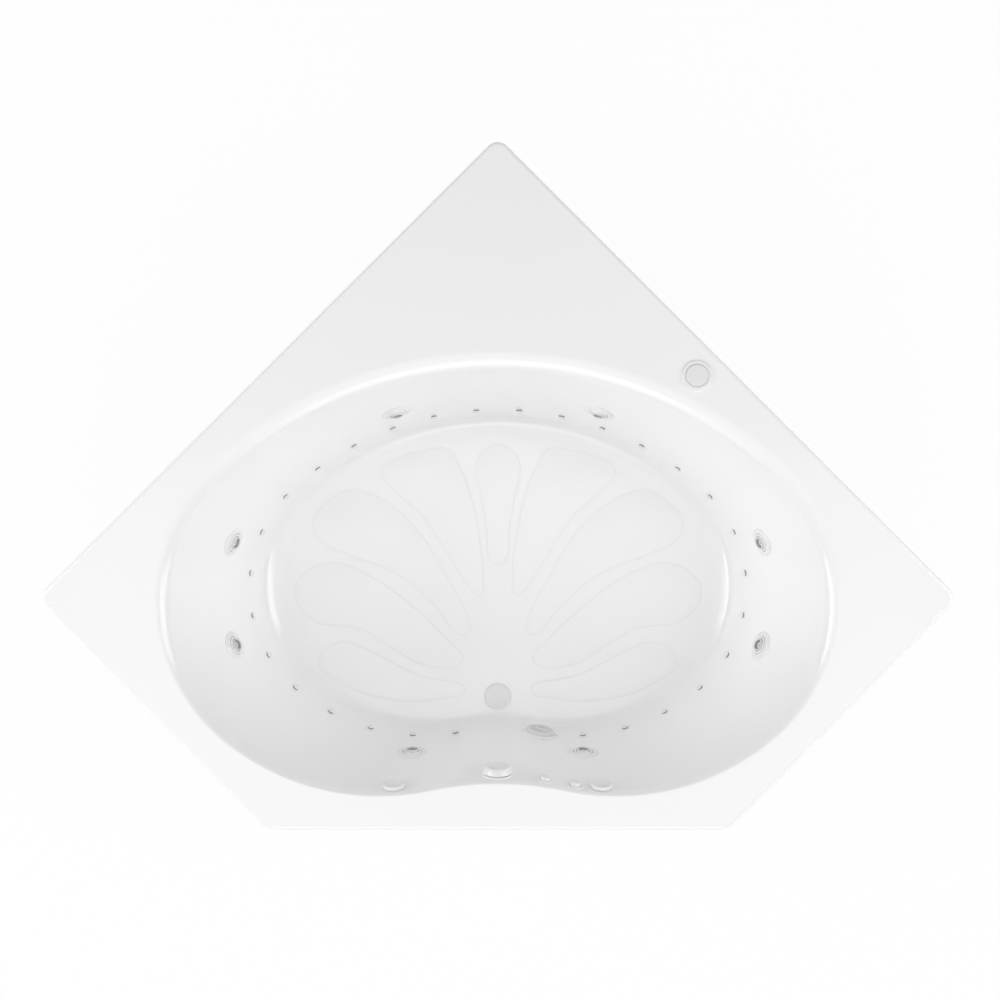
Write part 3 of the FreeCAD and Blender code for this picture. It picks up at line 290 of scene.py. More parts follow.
def deck_loop(bm, inset, level):
    """Closed outline of the deck, drawn in by an inset, with its five rounded corners."""
    known = set(bm.verts)
    corners = [
        (0, apex_y, wall_corner_round, 135.0, 45.0, 12),
        (corner_x, corner_y, wall_corner_round, 45.0, -45.0, 12),
        (front_x, front_y, front_corner_round, -45.0, -90.0, 10),
        (-front_x, front_y, front_corner_round, -90.0, -135.0, 10),
        (-corner_x, corner_y, wall_corner_round, -135.0, -225.0, 12),
    ]
    first = last = None
    for x, y, radius, start, end, steps in corners:
        lean = math.cos(math.radians(start - end) / 2)
        centre = Vector((x, y, level)) - unit((start + end) / 2) * (radius / lean)
        vert = bm.verts.new(centre + unit(start) * (radius - inset))
        if last:
            bm.edges.new((last, vert))
        first = first or vert
        made = bmesh.ops.spin(
            bm, geom=[vert], cent=centre, axis=UP, angle=math.radians(end - start), steps=steps)
        last = made["geom_last"][0]
    bm.edges.new((last, first))
    return loop_edges(new_verts(bm, known))


def bridged(bm, loops):
    for upper, lower in zip(loops, loops[1:]):
        bmesh.ops.bridge_loops(bm, edges=upper + lower)


def soften(bm, width, segments=3):
    """Round every sharp edge of a shape."""
    sharp = math.radians(bevel_angle)
    edges = [edge for edge in bm.edges if edge.is_manifold and edge.calc_face_angle() > sharp]
    bmesh.ops.bevel(
        bm, geom=edges, offset=width, offset_type="OFFSET", segments=segments, profile=0.5,
        affect="EDGES", material=-1, clamp_overlap=True)


def lathe(profile, closed=False, bevel=0.0, steps=48, sweep=360.0):
    """Shape spun from (radius, height) points in millimetres, about the local axis."""
    bm = bmesh.new()
    verts = [bm.verts.new((radius * mm, 0, height * mm)) for radius, height in profile]
    pairs = list(zip(verts, verts[1:]))
    if closed:
        pairs.append((verts[-1], verts[0]))
    edges = [bm.edges.new(pair) for pair in pairs]
    bmesh.ops.spin(
        bm, geom=verts + edges, cent=(0, 0, 0), axis=UP, angle=math.radians(sweep), steps=steps,
        use_merge=sweep == 360.0)
    bmesh.ops.remove_doubles(bm, verts=bm.verts, dist=mm / 1000)
    if sweep != 360.0:
        bmesh.ops.holes_fill(bm, edges=bm.edges)
    bmesh.ops.recalc_face_normals(bm, faces=bm.faces)
    if bevel:
        soften(bm, bevel * mm)
    return bm


def block(low, high, bevel=0.0):
    """Box between two corners in metres, with rounded edges."""
    bm = bmesh.new()
    size = Vector(high) - Vector(low)
    middle = (Vector(high) + Vector(low)) / 2
    bmesh.ops.create_cube(bm, size=1.0, matrix=Matrix.Translation(middle) @ Matrix.Diagonal(size).to_4x4())
    if bevel:
        soften(bm, bevel)
    return bm


def small_block(low, high, bevel):
    """Box between two corners in millimetres, with rounded edges."""
    return block(Vector(low) * mm, Vector(high) * mm, bevel * mm)


def hole(radius, low=-40, high=14, steps=48):
    """Plain cylinder that cuts a hole through the shell, in millimetres from its surface."""
    return lathe([(0, low), (radius, low), (radius, high), (0, high)], steps=steps)


def add(bm, shape, places=(Matrix(),), material=0):
    """Put copies of a shape into a piece, each at a place, with one of the piece's materials."""
    for face in shape.faces:
        face.material_index = material
    mesh = bpy.data.meshes.new("shape")
    shape.to_mesh(mesh)
    for place in places:
        copy = mesh.copy()
        copy.transform(place)
        bm.from_mesh(copy)
        bpy.data.meshes.remove(copy)
    bpy.data.meshes.remove(mesh)
    shape.free()


def finished(name, bm, finish_names, replaces, body="tub"):
    """Object made from a bmesh: shaded, with its finishes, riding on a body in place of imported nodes."""
    mesh = bpy.data.meshes.new(name)
    bm.to_mesh(mesh)
    bm.free()
    for finish_name in finish_names:
        mesh.materials.append(finish(finish_name))
    mesh.shade_smooth()
    mesh.set_sharp_from_angle(angle=math.radians(sharp_angle))
    piece = bpy.data.objects.new(name, mesh)
    bpy.context.scene.collection.objects.link(piece)
    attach(piece, body)
    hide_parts(*replaces)
    return piece


def turned(name, node, profile, place, finish_name="white trim", body="tub", **form):
    """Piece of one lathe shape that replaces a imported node."""
    bm = bmesh.new()
    add(bm, lathe(profile, **form), [place])
    finished(name, bm, [finish_name], body=body, replaces=[node])


def baked(piece):
    """Apply the modifiers of a piece to its mesh."""
    graph = bpy.context.evaluated_depsgraph_get()
    mesh = bpy.data.meshes.new_from_object(piece.evaluated_get(graph))
    old = piece.data
    piece.modifiers.clear()
    piece.data = mesh
    bpy.data.meshes.remove(old)


def eased(node, width):
    """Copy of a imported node's shape with its sharp edges rounded."""
    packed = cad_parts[node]
    bm = bmesh.new()
    bm.from_mesh(packed.data)
    bm.transform(packed.matrix_world)
    bmesh.ops.remove_doubles(bm, verts=bm.verts, dist=mm / 100)
    bmesh.ops.dissolve_limit(bm, angle_limit=math.radians(1), verts=bm.verts, edges=bm.edges)
    soften(bm, width * mm, segments=2)
    return bm


def around(place, count, radius=0.0, skip=None):
    """Places evenly round a place's local axis, at a radius in millimetres, without skipped directions."""
    places = []
    for step in range(count):
        turn = 360.0 * step / count
        if skip is None or not skip(unit(turn)):
            offset = Matrix.Translation((radius * mm, 0, 0))
            places.append(place @ Matrix.Rotation(math.radians(turn), 4, "Z") @ offset)
    return places


def bolt_head(radius):
    """Six-sided bolt head standing on the local origin."""
    top = 0.85 * radius
    return lathe([(0, 0), (radius, 0), (radius, 0.7 * radius), (0.8 * radius, top), (0, top)], steps=6)


def screwed(bm, radius, place, spots, material):
    """Add bolt heads that face up, at spots in millimetres from a place on the pump's shaft."""
    upright = Matrix.Rotation(math.pi / 2, 4, "X")
    places = [place @ Matrix.Translation(Vector(spot) * mm) @ upright for spot in spots]
    add(bm, bolt_head(radius), places, material)


# Finishes

def surface_group(name, inputs):
    """Shader node group with named inputs that gives colour, roughness and height over an object's space."""
    group = bpy.data.node_groups.new(name, "ShaderNodeTree")
    for socket, value in inputs.items():
        kind = "NodeSocketFloat" if isinstance(value, float) else "NodeSocketColor"
        made = group.interface.new_socket(socket, in_out="INPUT", socket_type=kind)
        made.default_value = value
    group.interface.new_socket("Color", in_out="OUTPUT", socket_type="NodeSocketColor")
    for socket in ("Roughness", "Height"):
        group.interface.new_socket(socket, in_out="OUTPUT", socket_type="NodeSocketFloat")
    given = group.nodes.new("NodeGroupInput").outputs
    result = group.nodes.new("NodeGroupOutput").inputs
    where = group.nodes.new("ShaderNodeTexCoord").outputs["Object"]
    return group, given, result, where


def noise_node(tree, scale, detail, vector):
    noise = tree.nodes.new("ShaderNodeTexNoise")
    noise.inputs["Detail"].default_value = detail
    if isinstance(scale, float):
        noise.inputs["Scale"].default_value = scale
    else:
        tree.links.new(scale, noise.inputs["Scale"])
    tree.links.new(vector, noise.inputs["Vector"])
    return noise.outputs["Fac"]


def math_node(tree, operation, a, b):
    node = tree.nodes.new("ShaderNodeMath")
    node.operation = operation
    for socket, value in zip(node.inputs, (a, b)):
        if isinstance(value, float):
            socket.default_value = value
        else:
            tree.links.new(value, socket)
    return node.outputs["Value"]


def spread_around(tree, value, noise, spread):
    """A value that wanders up and down with a noise."""
    swing = math_node(tree, "MULTIPLY", math_node(tree, "SUBTRACT", noise, 0.5), spread)
    return math_node(tree, "ADD", value, swing)


def tinted(tree, color, noise, spread, result):
    """Link a colour that is lighter and darker by a noise."""
    tint = tree.nodes.new("ShaderNodeVectorMath")
    tint.operation = "SCALE"
    tree.links.new(color, tint.inputs[0])
    tree.links.new(spread_around(tree, 1.0, noise, spread), tint.inputs["Scale"])
    tree.links.new(tint.outputs["Vector"], result)


def moulded_group():
    """Uneven tone and gloss of a moulded or cast surface, and its fine relief."""
    group, given, result, where = surface_group("Moulded Surface", {
        "Color": (0.8, 0.8, 0.8, 1), "Tone Spread": 0.05, "Roughness": 0.3, "Gloss Spread": 0.1,
        "Patch Scale": 6.0, "Grain Scale": 300.0})
    patches = noise_node(group, given["Patch Scale"], 4.0, where)
    grain = noise_node(group, given["Grain Scale"], 2.0, where)
    gloss = spread_around(group, given["Roughness"], patches, given["Gloss Spread"])
    tinted(group, given["Color"], patches, given["Tone Spread"], result["Color"])
    group.links.new(gloss, result["Roughness"])
    group.links.new(grain, result["Height"])
    return group


def spangle_group():
    """Crystal patches of hot-dip zinc on steel."""
    group, given, result, where = surface_group("Zinc Spangle", {
        "Color": (0.62, 0.64, 0.66, 1), "Crystal Scale": 90.0})
    cells = group.nodes.new("ShaderNodeTexVoronoi")
    group.links.new(given["Crystal Scale"], cells.inputs["Scale"])
    group.links.new(where, cells.inputs["Vector"])
    shade = group.nodes.new("ShaderNodeSeparateColor")
    group.links.new(cells.outputs["Color"], shade.inputs["Color"])
    tinted(group, given["Color"], shade.outputs["Red"], 0.35, result["Color"])
    group.links.new(spread_around(group, 0.42, shade.outputs["Green"], 0.2), result["Roughness"])
    group.links.new(cells.outputs["Distance"], result["Height"])
    return group


def plywood_group():
    """Long grain on the faces and thin layers at the edges."""
    group, given, result, where = surface_group("Plywood", {
        "Light": (0.7, 0.52, 0.33, 1), "Dark": (0.46, 0.31, 0.18, 1)})
    stretch = group.nodes.new("ShaderNodeMapping")
    stretch.inputs["Scale"].default_value = (2.0, 28.0, 330.0)
    group.links.new(where, stretch.inputs["Vector"])
    grain = noise_node(group, 1.0, 6.0, stretch.outputs["Vector"])
    ramp = group.nodes.new("ShaderNodeMix")
    ramp.data_type = "RGBA"
    group.links.new(grain, ramp.inputs["Factor"])
    group.links.new(given["Dark"], ramp.inputs["A"])
    group.links.new(given["Light"], ramp.inputs["B"])
    group.links.new(ramp.outputs["Result"], result["Color"])
    group.links.new(spread_around(group, 0.7, grain, 0.2), result["Roughness"])
    group.links.new(grain, result["Height"])
    return group


def fresh(name):
    """New material, its node tree and its shader."""
    material = bpy.data.materials.new(name)
    material.use_nodes = True
    return material, material.node_tree, material.node_tree.nodes["Principled BSDF"]


def set_inputs(node, **values):
    """Set inputs of a node, such as base_color for Base Color."""
    for name, value in values.items():
        node.inputs[name.replace("_", " ").title()].default_value = value


def placed_group(tree, group, **values):
    node = tree.nodes.new("ShaderNodeGroup")
    node.node_tree = group
    set_inputs(node, **values)
    return node


def dressed(tree, shader, skin, strength, distance):
    """Link a surface group's colour, roughness and relief to the shader."""
    bump = tree.nodes.new("ShaderNodeBump")
    set_inputs(bump, strength=strength, distance=distance)
    tree.links.new(skin.outputs["Color"], shader.inputs["Base Color"])
    tree.links.new(skin.outputs["Roughness"], shader.inputs["Roughness"])
    tree.links.new(skin.outputs["Height"], bump.inputs["Height"])
    tree.links.new(bump.outputs["Normal"], shader.inputs["Normal"])


Surface = namedtuple(
    "Surface", "color roughness tone gloss patch grain bump coat metallic", defaults=(0.0, 0.0))

# Moulded, cast and painted finishes: colour or the setting that gives it, roughness, unevenness of tone
# and gloss, scales of their patches and of the grain, relief, and a coat or metal where there is one
surfaces = {
    "white acrylic": Surface("acrylic", 0.15, 0.015, 0.04, 2.0, 140.0, 0.012, coat=0.25),
    # Painted shade: the petal grooves are darker than the acrylic to stand for the shade in them
    "painted petal groove shade": Surface("groove", 0.3, 0.03, 0.1, 9.0, 900.0, 0.06),
    "glass fibre backing": Surface((0.72, 0.70, 0.62), 0.62, 0.22, 0.2, 38.0, 210.0, 0.5),
    "white trim": Surface("trim", 0.18, 0.02, 0.05, 20.0, 500.0, 0.02, coat=0.2),
    # Painted shade: the nozzles and grille are white; their grey stands for the shade on them
    "grey trim": Surface("grey_shade_trim", 0.22, 0.03, 0.06, 20.0, 500.0, 0.02),
    "pale grey trim": Surface("pale_trim", 0.2, 0.02, 0.06, 20.0, 500.0, 0.02),
    # Painted shade for the insides of fittings
    "painted shade lining": Surface("shade_lining", 0.5, 0.2, 0.15, 60.0, 700.0, 0.1),
    "shaded bore": Surface("bore", 0.5, 0.1, 0.1, 60.0, 700.0, 0.05),
    "pipe plastic": Surface((0.80, 0.80, 0.76), 0.34, 0.06, 0.12, 9.0, 420.0, 0.05),
    "black plastic": Surface((0.028, 0.028, 0.03), 0.42, 0.25, 0.15, 30.0, 900.0, 0.14),
    "housing plastic": Surface((0.075, 0.08, 0.085), 0.45, 0.16, 0.14, 24.0, 1100.0, 0.2),
    "seal rubber": Surface((0.02, 0.02, 0.02), 0.7, 0.3, 0.12, 40.0, 1300.0, 0.2),
    "motor paint": Surface((0.05, 0.062, 0.085), 0.36, 0.18, 0.16, 14.0, 650.0, 0.16, coat=0.15),
    "bright screw": Surface((0.78, 0.78, 0.77), 0.2, 0.08, 0.12, 90.0, 900.0, 0.05, metallic=1.0),
}
coat_roughness = 0.06


def moulded(name):
    """Moulded, cast or painted finish."""
    surface = surfaces[name]
    color = surface.color
    if isinstance(color, str):
        color = getattr(finishes(), color)
    material, tree, shader = fresh(name)
    group = bpy.data.node_groups.get("Moulded Surface") or moulded_group()
    skin = placed_group(
        tree, group, color=(*color, 1), tone_spread=surface.tone, roughness=surface.roughness,
        gloss_spread=surface.gloss, patch_scale=surface.patch, grain_scale=surface.grain)
    dressed(tree, shader, skin, surface.bump, mm / 4)
    set_inputs(shader, coat_weight=surface.coat, coat_roughness=coat_roughness, metallic=surface.metallic)
    return material


def zinc(name):
    """Steel dipped in zinc."""
    material, tree, shader = fresh(name)
    dressed(tree, shader, placed_group(tree, spangle_group()), strength=0.15, distance=mm / 5)
    set_inputs(shader, metallic=0.9)
    return material


def plywood(name):
    """Bare plywood."""
    material, tree, shader = fresh(name)
    dressed(tree, shader, placed_group(tree, plywood_group()), strength=0.2, distance=mm / 2)
    return material


def finish(name):
    """Material by its finish name, made the first time it is asked for."""
    makers = {"zinc steel": zinc, "raw plywood": plywood}
    return bpy.data.materials.get(name) or makers.get(name, moulded)(name)


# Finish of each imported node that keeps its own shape
node_finishes = {
    "pipe plastic": (
        "drain_body", "waste_tee", "tailpiece", "overflow_pipe", "overflow_elbow", "suction_pipe",
        "discharge_pipe", "water_manifold", "locknuts", "jet_bodies", "air_line", "blower_feed",
        "air_channel"),
    "white trim": ("air_control_bodies",),
    "black plastic": ("drain_cable", "pump_impeller", "blower_fan"),
    "seal rubber": ("gaskets",),
}

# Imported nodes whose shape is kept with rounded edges: piece, finish, material slot, rounding in millimetres
eased_nodes = {
    "frame_posts": ("corner_posts", "zinc steel", "steel", 2.0),
    "frame_rails": ("base_rails", "zinc steel", "steel", 2.0),
    "foot_nuts": ("foot_nut_set", "zinc steel", "steel", 0.6),
    "leveling_feet": ("leveling_foot_set", "zinc steel", "steel", 1.2),
    "floor_board": ("well_board", "raw plywood", "plywood", 1.0),
    "equipment_shelves": ("shelf_set", "raw plywood", "plywood", 1.0),
}

# Petals of the floor's anti-slip fan, left half; the middle one is drawn from both sides
petals = (
    ((-0.479, -0.468), (-0.423, -0.410), (-0.349, -0.430), (-0.217, -0.496), (-0.093, -0.526),
     (-0.085, -0.539), (-0.148, -0.563), (-0.308, -0.562), (-0.420, -0.520)),
    ((-0.544, -0.277), (-0.516, -0.227), (-0.444, -0.198), (-0.377, -0.215), (-0.258, -0.290),
     (-0.125, -0.412), (-0.091, -0.452), (-0.100, -0.471), (-0.194, -0.474), (-0.304, -0.414),
     (-0.368, -0.377), (-0.496, -0.352)),
    ((-0.494, -0.086), (-0.455, -0.037), (-0.405, -0.005), (-0.349, -0.011), (-0.230, -0.093),
     (-0.134, -0.240), (-0.079, -0.345), (-0.073, -0.379), (-0.092, -0.394), (-0.166, -0.320),
     (-0.276, -0.228), (-0.409, -0.176), (-0.478, -0.139)),
    ((-0.314, 0.048), (-0.302, 0.019), (-0.203, -0.075), (-0.120, -0.203), (-0.068, -0.278),
     (-0.049, -0.290), (-0.038, -0.233), (-0.051, -0.111), (-0.070, -0.020), (-0.100, 0.058),
     (-0.132, 0.105), (-0.190, 0.103), (-0.285, 0.073)),
)
middle_petal = ((-0.057, 0.074), (-0.047, -0.020), (-0.032, -0.113), (-0.023, -0.190))
middle_petal_ends = ((0.0, -0.209), (0.0, 0.118))
petal_resolution = 9


class BathtubSizes(bpy.types.PropertyGroup):
    """Sizes that can be changed without moving the fittings off their bodies."""
    well_depth: bpy.props.FloatProperty(
        name="Well depth", description="Depth of the floor below the deck",
        default=0.470, min=0.3, unit="LENGTH")
    skin: bpy.props.FloatProperty(
        name="Skin", description="Thickness of the acrylic with its backing",
        default=0.006, min=0.002, unit="LENGTH")
    lip: bpy.props.FloatProperty(
        name="Lip", description="Height of the turned-down edge of the deck", default=0.045, unit="LENGTH")
    groove_width: bpy.props.FloatProperty(
        name="Groove width", description="Width of the petal grooves", default=0.0036, unit="LENGTH")
    groove_depth: bpy.props.FloatProperty(
        name="Groove depth", description="Depth of the petal grooves", default=0.0003, unit="LENGTH")


class BathtubFinishes(bpy.types.PropertyGroup):
    """Colours of the parts that show from above; the darker ones for the petal grooves, nozzles, grille and
    the insides of fittings are painted shade.
    """
    acrylic: bpy.props.FloatVectorProperty(
        name="Acrylic", description="Shell of the tub", subtype="COLOR", size=3, default=(0.96, 0.96, 0.96))
    # Painted shade: the darker colour stands for the shade in the petal grooves
    groove: bpy.props.FloatVectorProperty(
        name="Groove", description="Petal grooves in the floor",
        subtype="COLOR", size=3, default=(0.88, 0.88, 0.88))
    trim: bpy.props.FloatVectorProperty(
        name="Trim", description="Moulded fittings", subtype="COLOR", size=3, default=(0.88, 0.88, 0.88))
    # Painted shade: grey in place of the shade on the white nozzles and suction grille
    grey_shade_trim: bpy.props.FloatVectorProperty(
        name="Grey trim", description="Nozzles and grilles",
        subtype="COLOR", size=3, default=(0.74, 0.74, 0.74))
    pale_trim: bpy.props.FloatVectorProperty(
        name="Pale trim", description="Drain plug and deck button",
        subtype="COLOR", size=3, default=(0.84, 0.84, 0.84))
    # Painted shade: the grey that stands for the shade inside the nozzles' bores
    bore: bpy.props.FloatVectorProperty(
        name="Bore", description="Inside of the nozzles", subtype="COLOR", size=3, default=(0.60, 0.60, 0.60))
    # Painted shade: the dark grey that stands for the shade inside the jets, injector slots, suction, drain,
    # screw slot and behind the motor's fan cover
    shade_lining: bpy.props.FloatVectorProperty(
        name="Throat", description="Inside of jets, injectors and suction",
        subtype="COLOR", size=3, default=(0.26, 0.26, 0.26))


# Pieces

def closed_spline(points):
    """Corners of a smooth closed line through the points, as a mesh."""
    curve = bpy.data.curves.new("petal", "CURVE")
    spline = curve.splines.new("BEZIER")
    spline.bezier_points.add(len(points) - 1)
    for knot, (x, y) in zip(spline.bezier_points, points):
        knot.co = (x, y, 0)
        knot.handle_left_type = "AUTO"
        knot.handle_right_type = "AUTO"
    spline.use_cyclic_u = True
    spline.resolution_u = petal_resolution
    holder = bpy.data.objects.new("petal", curve)
    bpy.context.scene.collection.objects.link(holder)
    bpy.context.view_layer.update()
    mesh = bpy.data.meshes.new_from_object(holder)
    bpy.data.objects.remove(holder)
    bpy.data.curves.remove(curve)
    return mesh


def petal_outlines():
    outlines = []
    for points in petals:
        outlines.append(points)
        outlines.append([(-x, y) for x, y in points])
    right = [(-x, y) for x, y in reversed(middle_petal)]
    outlines.append(list(middle_petal) + [middle_petal_ends[0]] + right + [middle_petal_ends[1]])
    return outlines


def petal_floor(bm, border, level):
    """Flat floor inside its border, with a groove along each petal."""
    sizes = settings()
    petal_loops = []
    for points in petal_outlines():
        known = set(bm.verts)
        mesh = closed_spline(points)
        mesh.transform(Matrix.Translation((0, 0, level)))
        bm.from_mesh(mesh)
        bpy.data.meshes.remove(mesh)
        verts = new_verts(bm, known)
        bmesh.ops.remove_doubles(bm, verts=verts, dist=mm / 10)
        petal_loops.append(loop_edges(new_verts(bm, known)))
    edges = border + [edge for loop in petal_loops for edge in loop]
    bmesh.ops.triangle_fill(bm, edges=edges, use_beauty=True, normal=UP)
    for loop in petal_loops:
        inner = bmesh.ops.contextual_create(bm, geom=loop)["faces"]
        bmesh.ops.recalc_face_normals(bm, faces=inner)
        if inner[0].normal.z < 0:
            bmesh.ops.reverse_faces(bm, faces=inner)
        for depth in (-sizes.groove_depth, sizes.groove_depth):
            made = bmesh.ops.inset_region(
                bm, faces=inner, thickness=sizes.groove_width / 2, depth=depth, use_even_offset=True)
            # The groove faces take the painted shade colour
            for face in made["faces"]:
                face.material_index = 2


class BATHTUB_OT_shell(bpy.types.Operator):
    """Moulded shell: lip, deck, rolled rim, well and petal floor, with holes for the fittings"""
    bl_idname = "bathtub.shell"
    bl_label = "Shell"

    def execute(self, context):
        sizes = settings()
        bm = bmesh.new()
        lip_loops = [deck_loop(bm, 0, tub_height - sizes.lip)]
        for step in range(edge_steps + 1):
            start, _, end = rounding_weights(step / edge_steps)
            lip_loops.append(deck_loop(bm, edge_round * end, tub_height - edge_round * start))
        lip_loops.append(deck_loop(bm, edge_round + support, tub_height))
        bridged(bm, lip_loops)

        well_floor = tub_height - sizes.well_depth
        cove_top = sizes.well_depth - cove_height
        outer_roll = Outline(*[a + math.copysign(support, a) for a in roll])
        inner_floor = Outline(*[a - math.copysign(support, a) for a in flat_floor])
        rounding = ((roll, tub_height), (rim, tub_height), (wall(roll_height), tub_height - roll_height))
        cove = ((wall(cove_top), tub_height - cove_top), (floor, well_floor), (flat_floor, well_floor))
        rows = [(outer_roll, tub_height)]
        rows += [blended(rounding, step / roll_steps) for step in range(roll_steps + 1)]
        for step in range(1, wall_steps):
            depth = roll_height + (cove_top - roll_height) * step / wall_steps
            rows.append((wall(depth), tub_height - depth))
        rows += [blended(cove, step / cove_steps) for step in range(cove_steps + 1)]
        rows.append((inner_floor, well_floor))
        well_loops = [well_loop(bm, shape, level) for shape, level in rows]
        bridged(bm, well_loops)
        bmesh.ops.triangle_fill(bm, edges=lip_loops[-1] + well_loops[0], use_beauty=True, normal=UP)
        petal_floor(bm, well_loops[-1], well_floor)
        bmesh.ops.recalc_face_normals(bm, faces=bm.faces)
        top = max(bm.faces, key=lambda face: (round(face.calc_center_median().z, 6), face.calc_area()))
        if top.normal.z < 0:
            bmesh.ops.reverse_faces(bm, faces=bm.faces)
        shell = finished(
            "acrylic_shell", bm, ["white acrylic", "glass fibre backing", "painted petal groove shade"],
            replaces=["tub_shell"])
        thickness = shell.modifiers.new("skin", "SOLIDIFY")
        thickness.thickness = sizes.skin
        thickness.offset = -1
        thickness.use_even_offset = True
        thickness.material_offset = 1
        cutters = bmesh.new()
        add(cutters, hole(wall_fitting_hole), jet_seats() + [suction_seat()])
        add(cutters, hole(button_hole), button_seats())
        add(cutters, hole(deck_button_hole, steps=72), [deck_button_seat()])
        add(cutters, hole(drain_hole, -30, 8), [Matrix.Translation(drain_point())])
        mesh = bpy.data.meshes.new("holes")
        cutters.to_mesh(mesh)
        cutters.free()
        holes = bpy.data.objects.new("holes", mesh)
        context.scene.collection.objects.link(holes)
        cut = shell.modifiers.new("holes", "BOOLEAN")
        cut.object = holes
        cut.solver = "EXACT"
        context.view_layer.update()
        baked(shell)
        bpy.data.objects.remove(holes)
        bpy.data.meshes.remove(mesh)
        shell.data.set_sharp_from_angle(angle=math.radians(shell_sharp_angle))
        return {"FINISHED"}


def jet_seats():
    """Places of the eight jets, the right ones first, each side from the back to the front."""
    places = []
    for side in (1, -1):
        places += [station(side * run, jet_depth) for run in jet_runs]
        places.append(front_station(side * front_jet_run, jet_depth))
    return [seat(place) for place in places]


def injector_seats():
    """Even stations round the well, without the front middle one and the one the suction takes."""
    spacing = 2 * half_length(injector_depth) / injector_stations
    half = injector_stations // 2
    steps = list(range(2, half + 1)) + list(range(-half, 0))
    return [seat(front_station(step * spacing, injector_depth)) for step in steps]


def suction_seat():
    return seat(front_station(suction_run, suction_depth))


def button_seats():
    """Places of the two buttons in the front wall."""
    return [seat(front_station(run, button_depth)) for run in button_runs]


def deck_button_seat():
    low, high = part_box("deck_button")
    return Matrix.Translation(((low.x + high.x) / 2, (low.y + high.y) / 2, tub_height))


def drain_point():
    low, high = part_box("drain_plug")
    return Vector(((low.x + high.x) / 2, (low.y + high.y) / 2, tub_height - settings().well_depth))


class BATHTUB_OT_jets(bpy.types.Operator):
    """Water jets: a flange lined inside with painted shade, a grip ring and a ball nozzle each"""
    bl_idname = "bathtub.jets"
    bl_label = "Jets"

    def execute(self, context):
        seats = jet_seats()
        bm = bmesh.new()
        flange = [
            (38.5, 0.2), (38.3, 1.1), (37.0, 1.9), (33.0, 4.0), (28.5, 5.4), (25.6, 5.8), (24.3, 5.1),
            (23.9, 3.5), (23.9, -2.2), (20.0, -2.2), (20.0, -33.8), (29.4, -33.8), (29.4, 0.2)]
        add(bm, lathe(flange, closed=True, bevel=0.3, steps=64), seats)
        # Painted shade: a dark lining inside the flange stands for the shade down its throat
        shade_lining = [
            (0, -31.0), (18.0, -31.0), (19.9, -29.0), (19.9, -3.0), (19.4, -3.0), (19.4, -28.0), (0, -29.5)]
        add(bm, lathe(shade_lining), seats, material=1)
        finished(
            "jet_flange_set", bm, ["white trim", "painted shade lining"], replaces=["jet_flanges"])
        for number, place in enumerate(seats, 1):
            bm = bmesh.new()
            ring = [
                (23.6, -1.9), (23.6, 5.6), (23.0, 7.2), (21.4, 8.0), (18.6, 8.0), (17.2, 6.9),
                (17.35, 3.0), (16.8, -1.9)]
            shape = lathe(ring, closed=True, bevel=0.25, steps=72)
            for vert in shape.verts:
                turn = math.atan2(vert.co.y, vert.co.x)
                if vert.co.z > scallop_level * mm and vert.co.xy.length > scallop_radius * mm:
                    vert.co.xy *= 1 - scallop_depth * (1 + math.cos(ring_scallops * turn))
            add(bm, shape, [place])
            finished("jet_grip_ring_%d" % number, bm, ["white trim"],
                     body="jet_ring_%d" % number, replaces=["jet_ring_%d" % number])
            bm = bmesh.new()
            # The ball nozzle's grey is painted shade on white plastic
            ball = [
                (13.75, -7.0), (15.7, -3.6), (16.7, -0.2), (17.0, 3.0), (16.7, 6.2), (15.8, 9.3),
                (14.8, 11.4), (14.0, 12.0), (13.0, 11.6), (12.5, 10.4), (12.5, -7.0)]
            add(bm, lathe(ball, closed=True), [place])
            core = [(2.3, -6.8), (9.0, -6.8), (9.4, -5.0), (9.4, 4.4), (8.2, 6.2), (4.0, 6.8), (2.3, 5.8)]
            add(bm, lathe(core, closed=True), [place])
            vane = small_block((8.4, -1.0, -6.8), (13.0, 1.0, -3.0), 0.3)
            add(bm, vane, around(place, 3))
            # Painted shade: the bore lining is grey to stand for the shade inside the nozzle
            bore = [(12.6, -6.9), (12.6, 10.2), (11.9, 10.2), (11.9, -6.9)]
            add(bm, lathe(bore, closed=True), [place], material=1)
            finished("jet_ball_nozzle_%d" % number, bm, ["grey trim", "shaded bore"],
                     body="jet_nozzle_%d" % number, replaces=["jet_nozzle_%d" % number])
        return {"FINISHED"}


class BATHTUB_OT_injectors(bpy.types.Operator):
    """Air injectors: a flush base, a slot with painted shade on its neck, and a small cap each"""
    bl_idname = "bathtub.injectors"
    bl_label = "Air injectors"

    def execute(self, context):
        seats = injector_seats()
        bm = bmesh.new()
        base = [(0, -18), (5.0, -18), (5.0, -0.3), (8.5, -0.3), (8.5, 0.2), (8.2, 0.4), (0, 0.4)]
        add(bm, lathe(base, steps=24), seats)
        # Painted shade: the neck under the cap is dark to stand for the shade in the slot
        add(bm, lathe([(0, 0.2), (7.2, 0.2), (7.2, 3.5), (0, 3.5)], steps=24), seats, material=1)
        cap = [(0, 3.3), (8.0, 3.3), (8.5, 3.6), (8.4, 4.2), (7.2, 4.8), (2.4, 5.1), (2.0, 4.8), (0, 4.8)]
        add(bm, lathe(cap, steps=24), seats)
        finished(
            "air_injector_set", bm, ["white trim", "painted shade lining"], replaces=["air_injectors"])
        return {"FINISHED"}


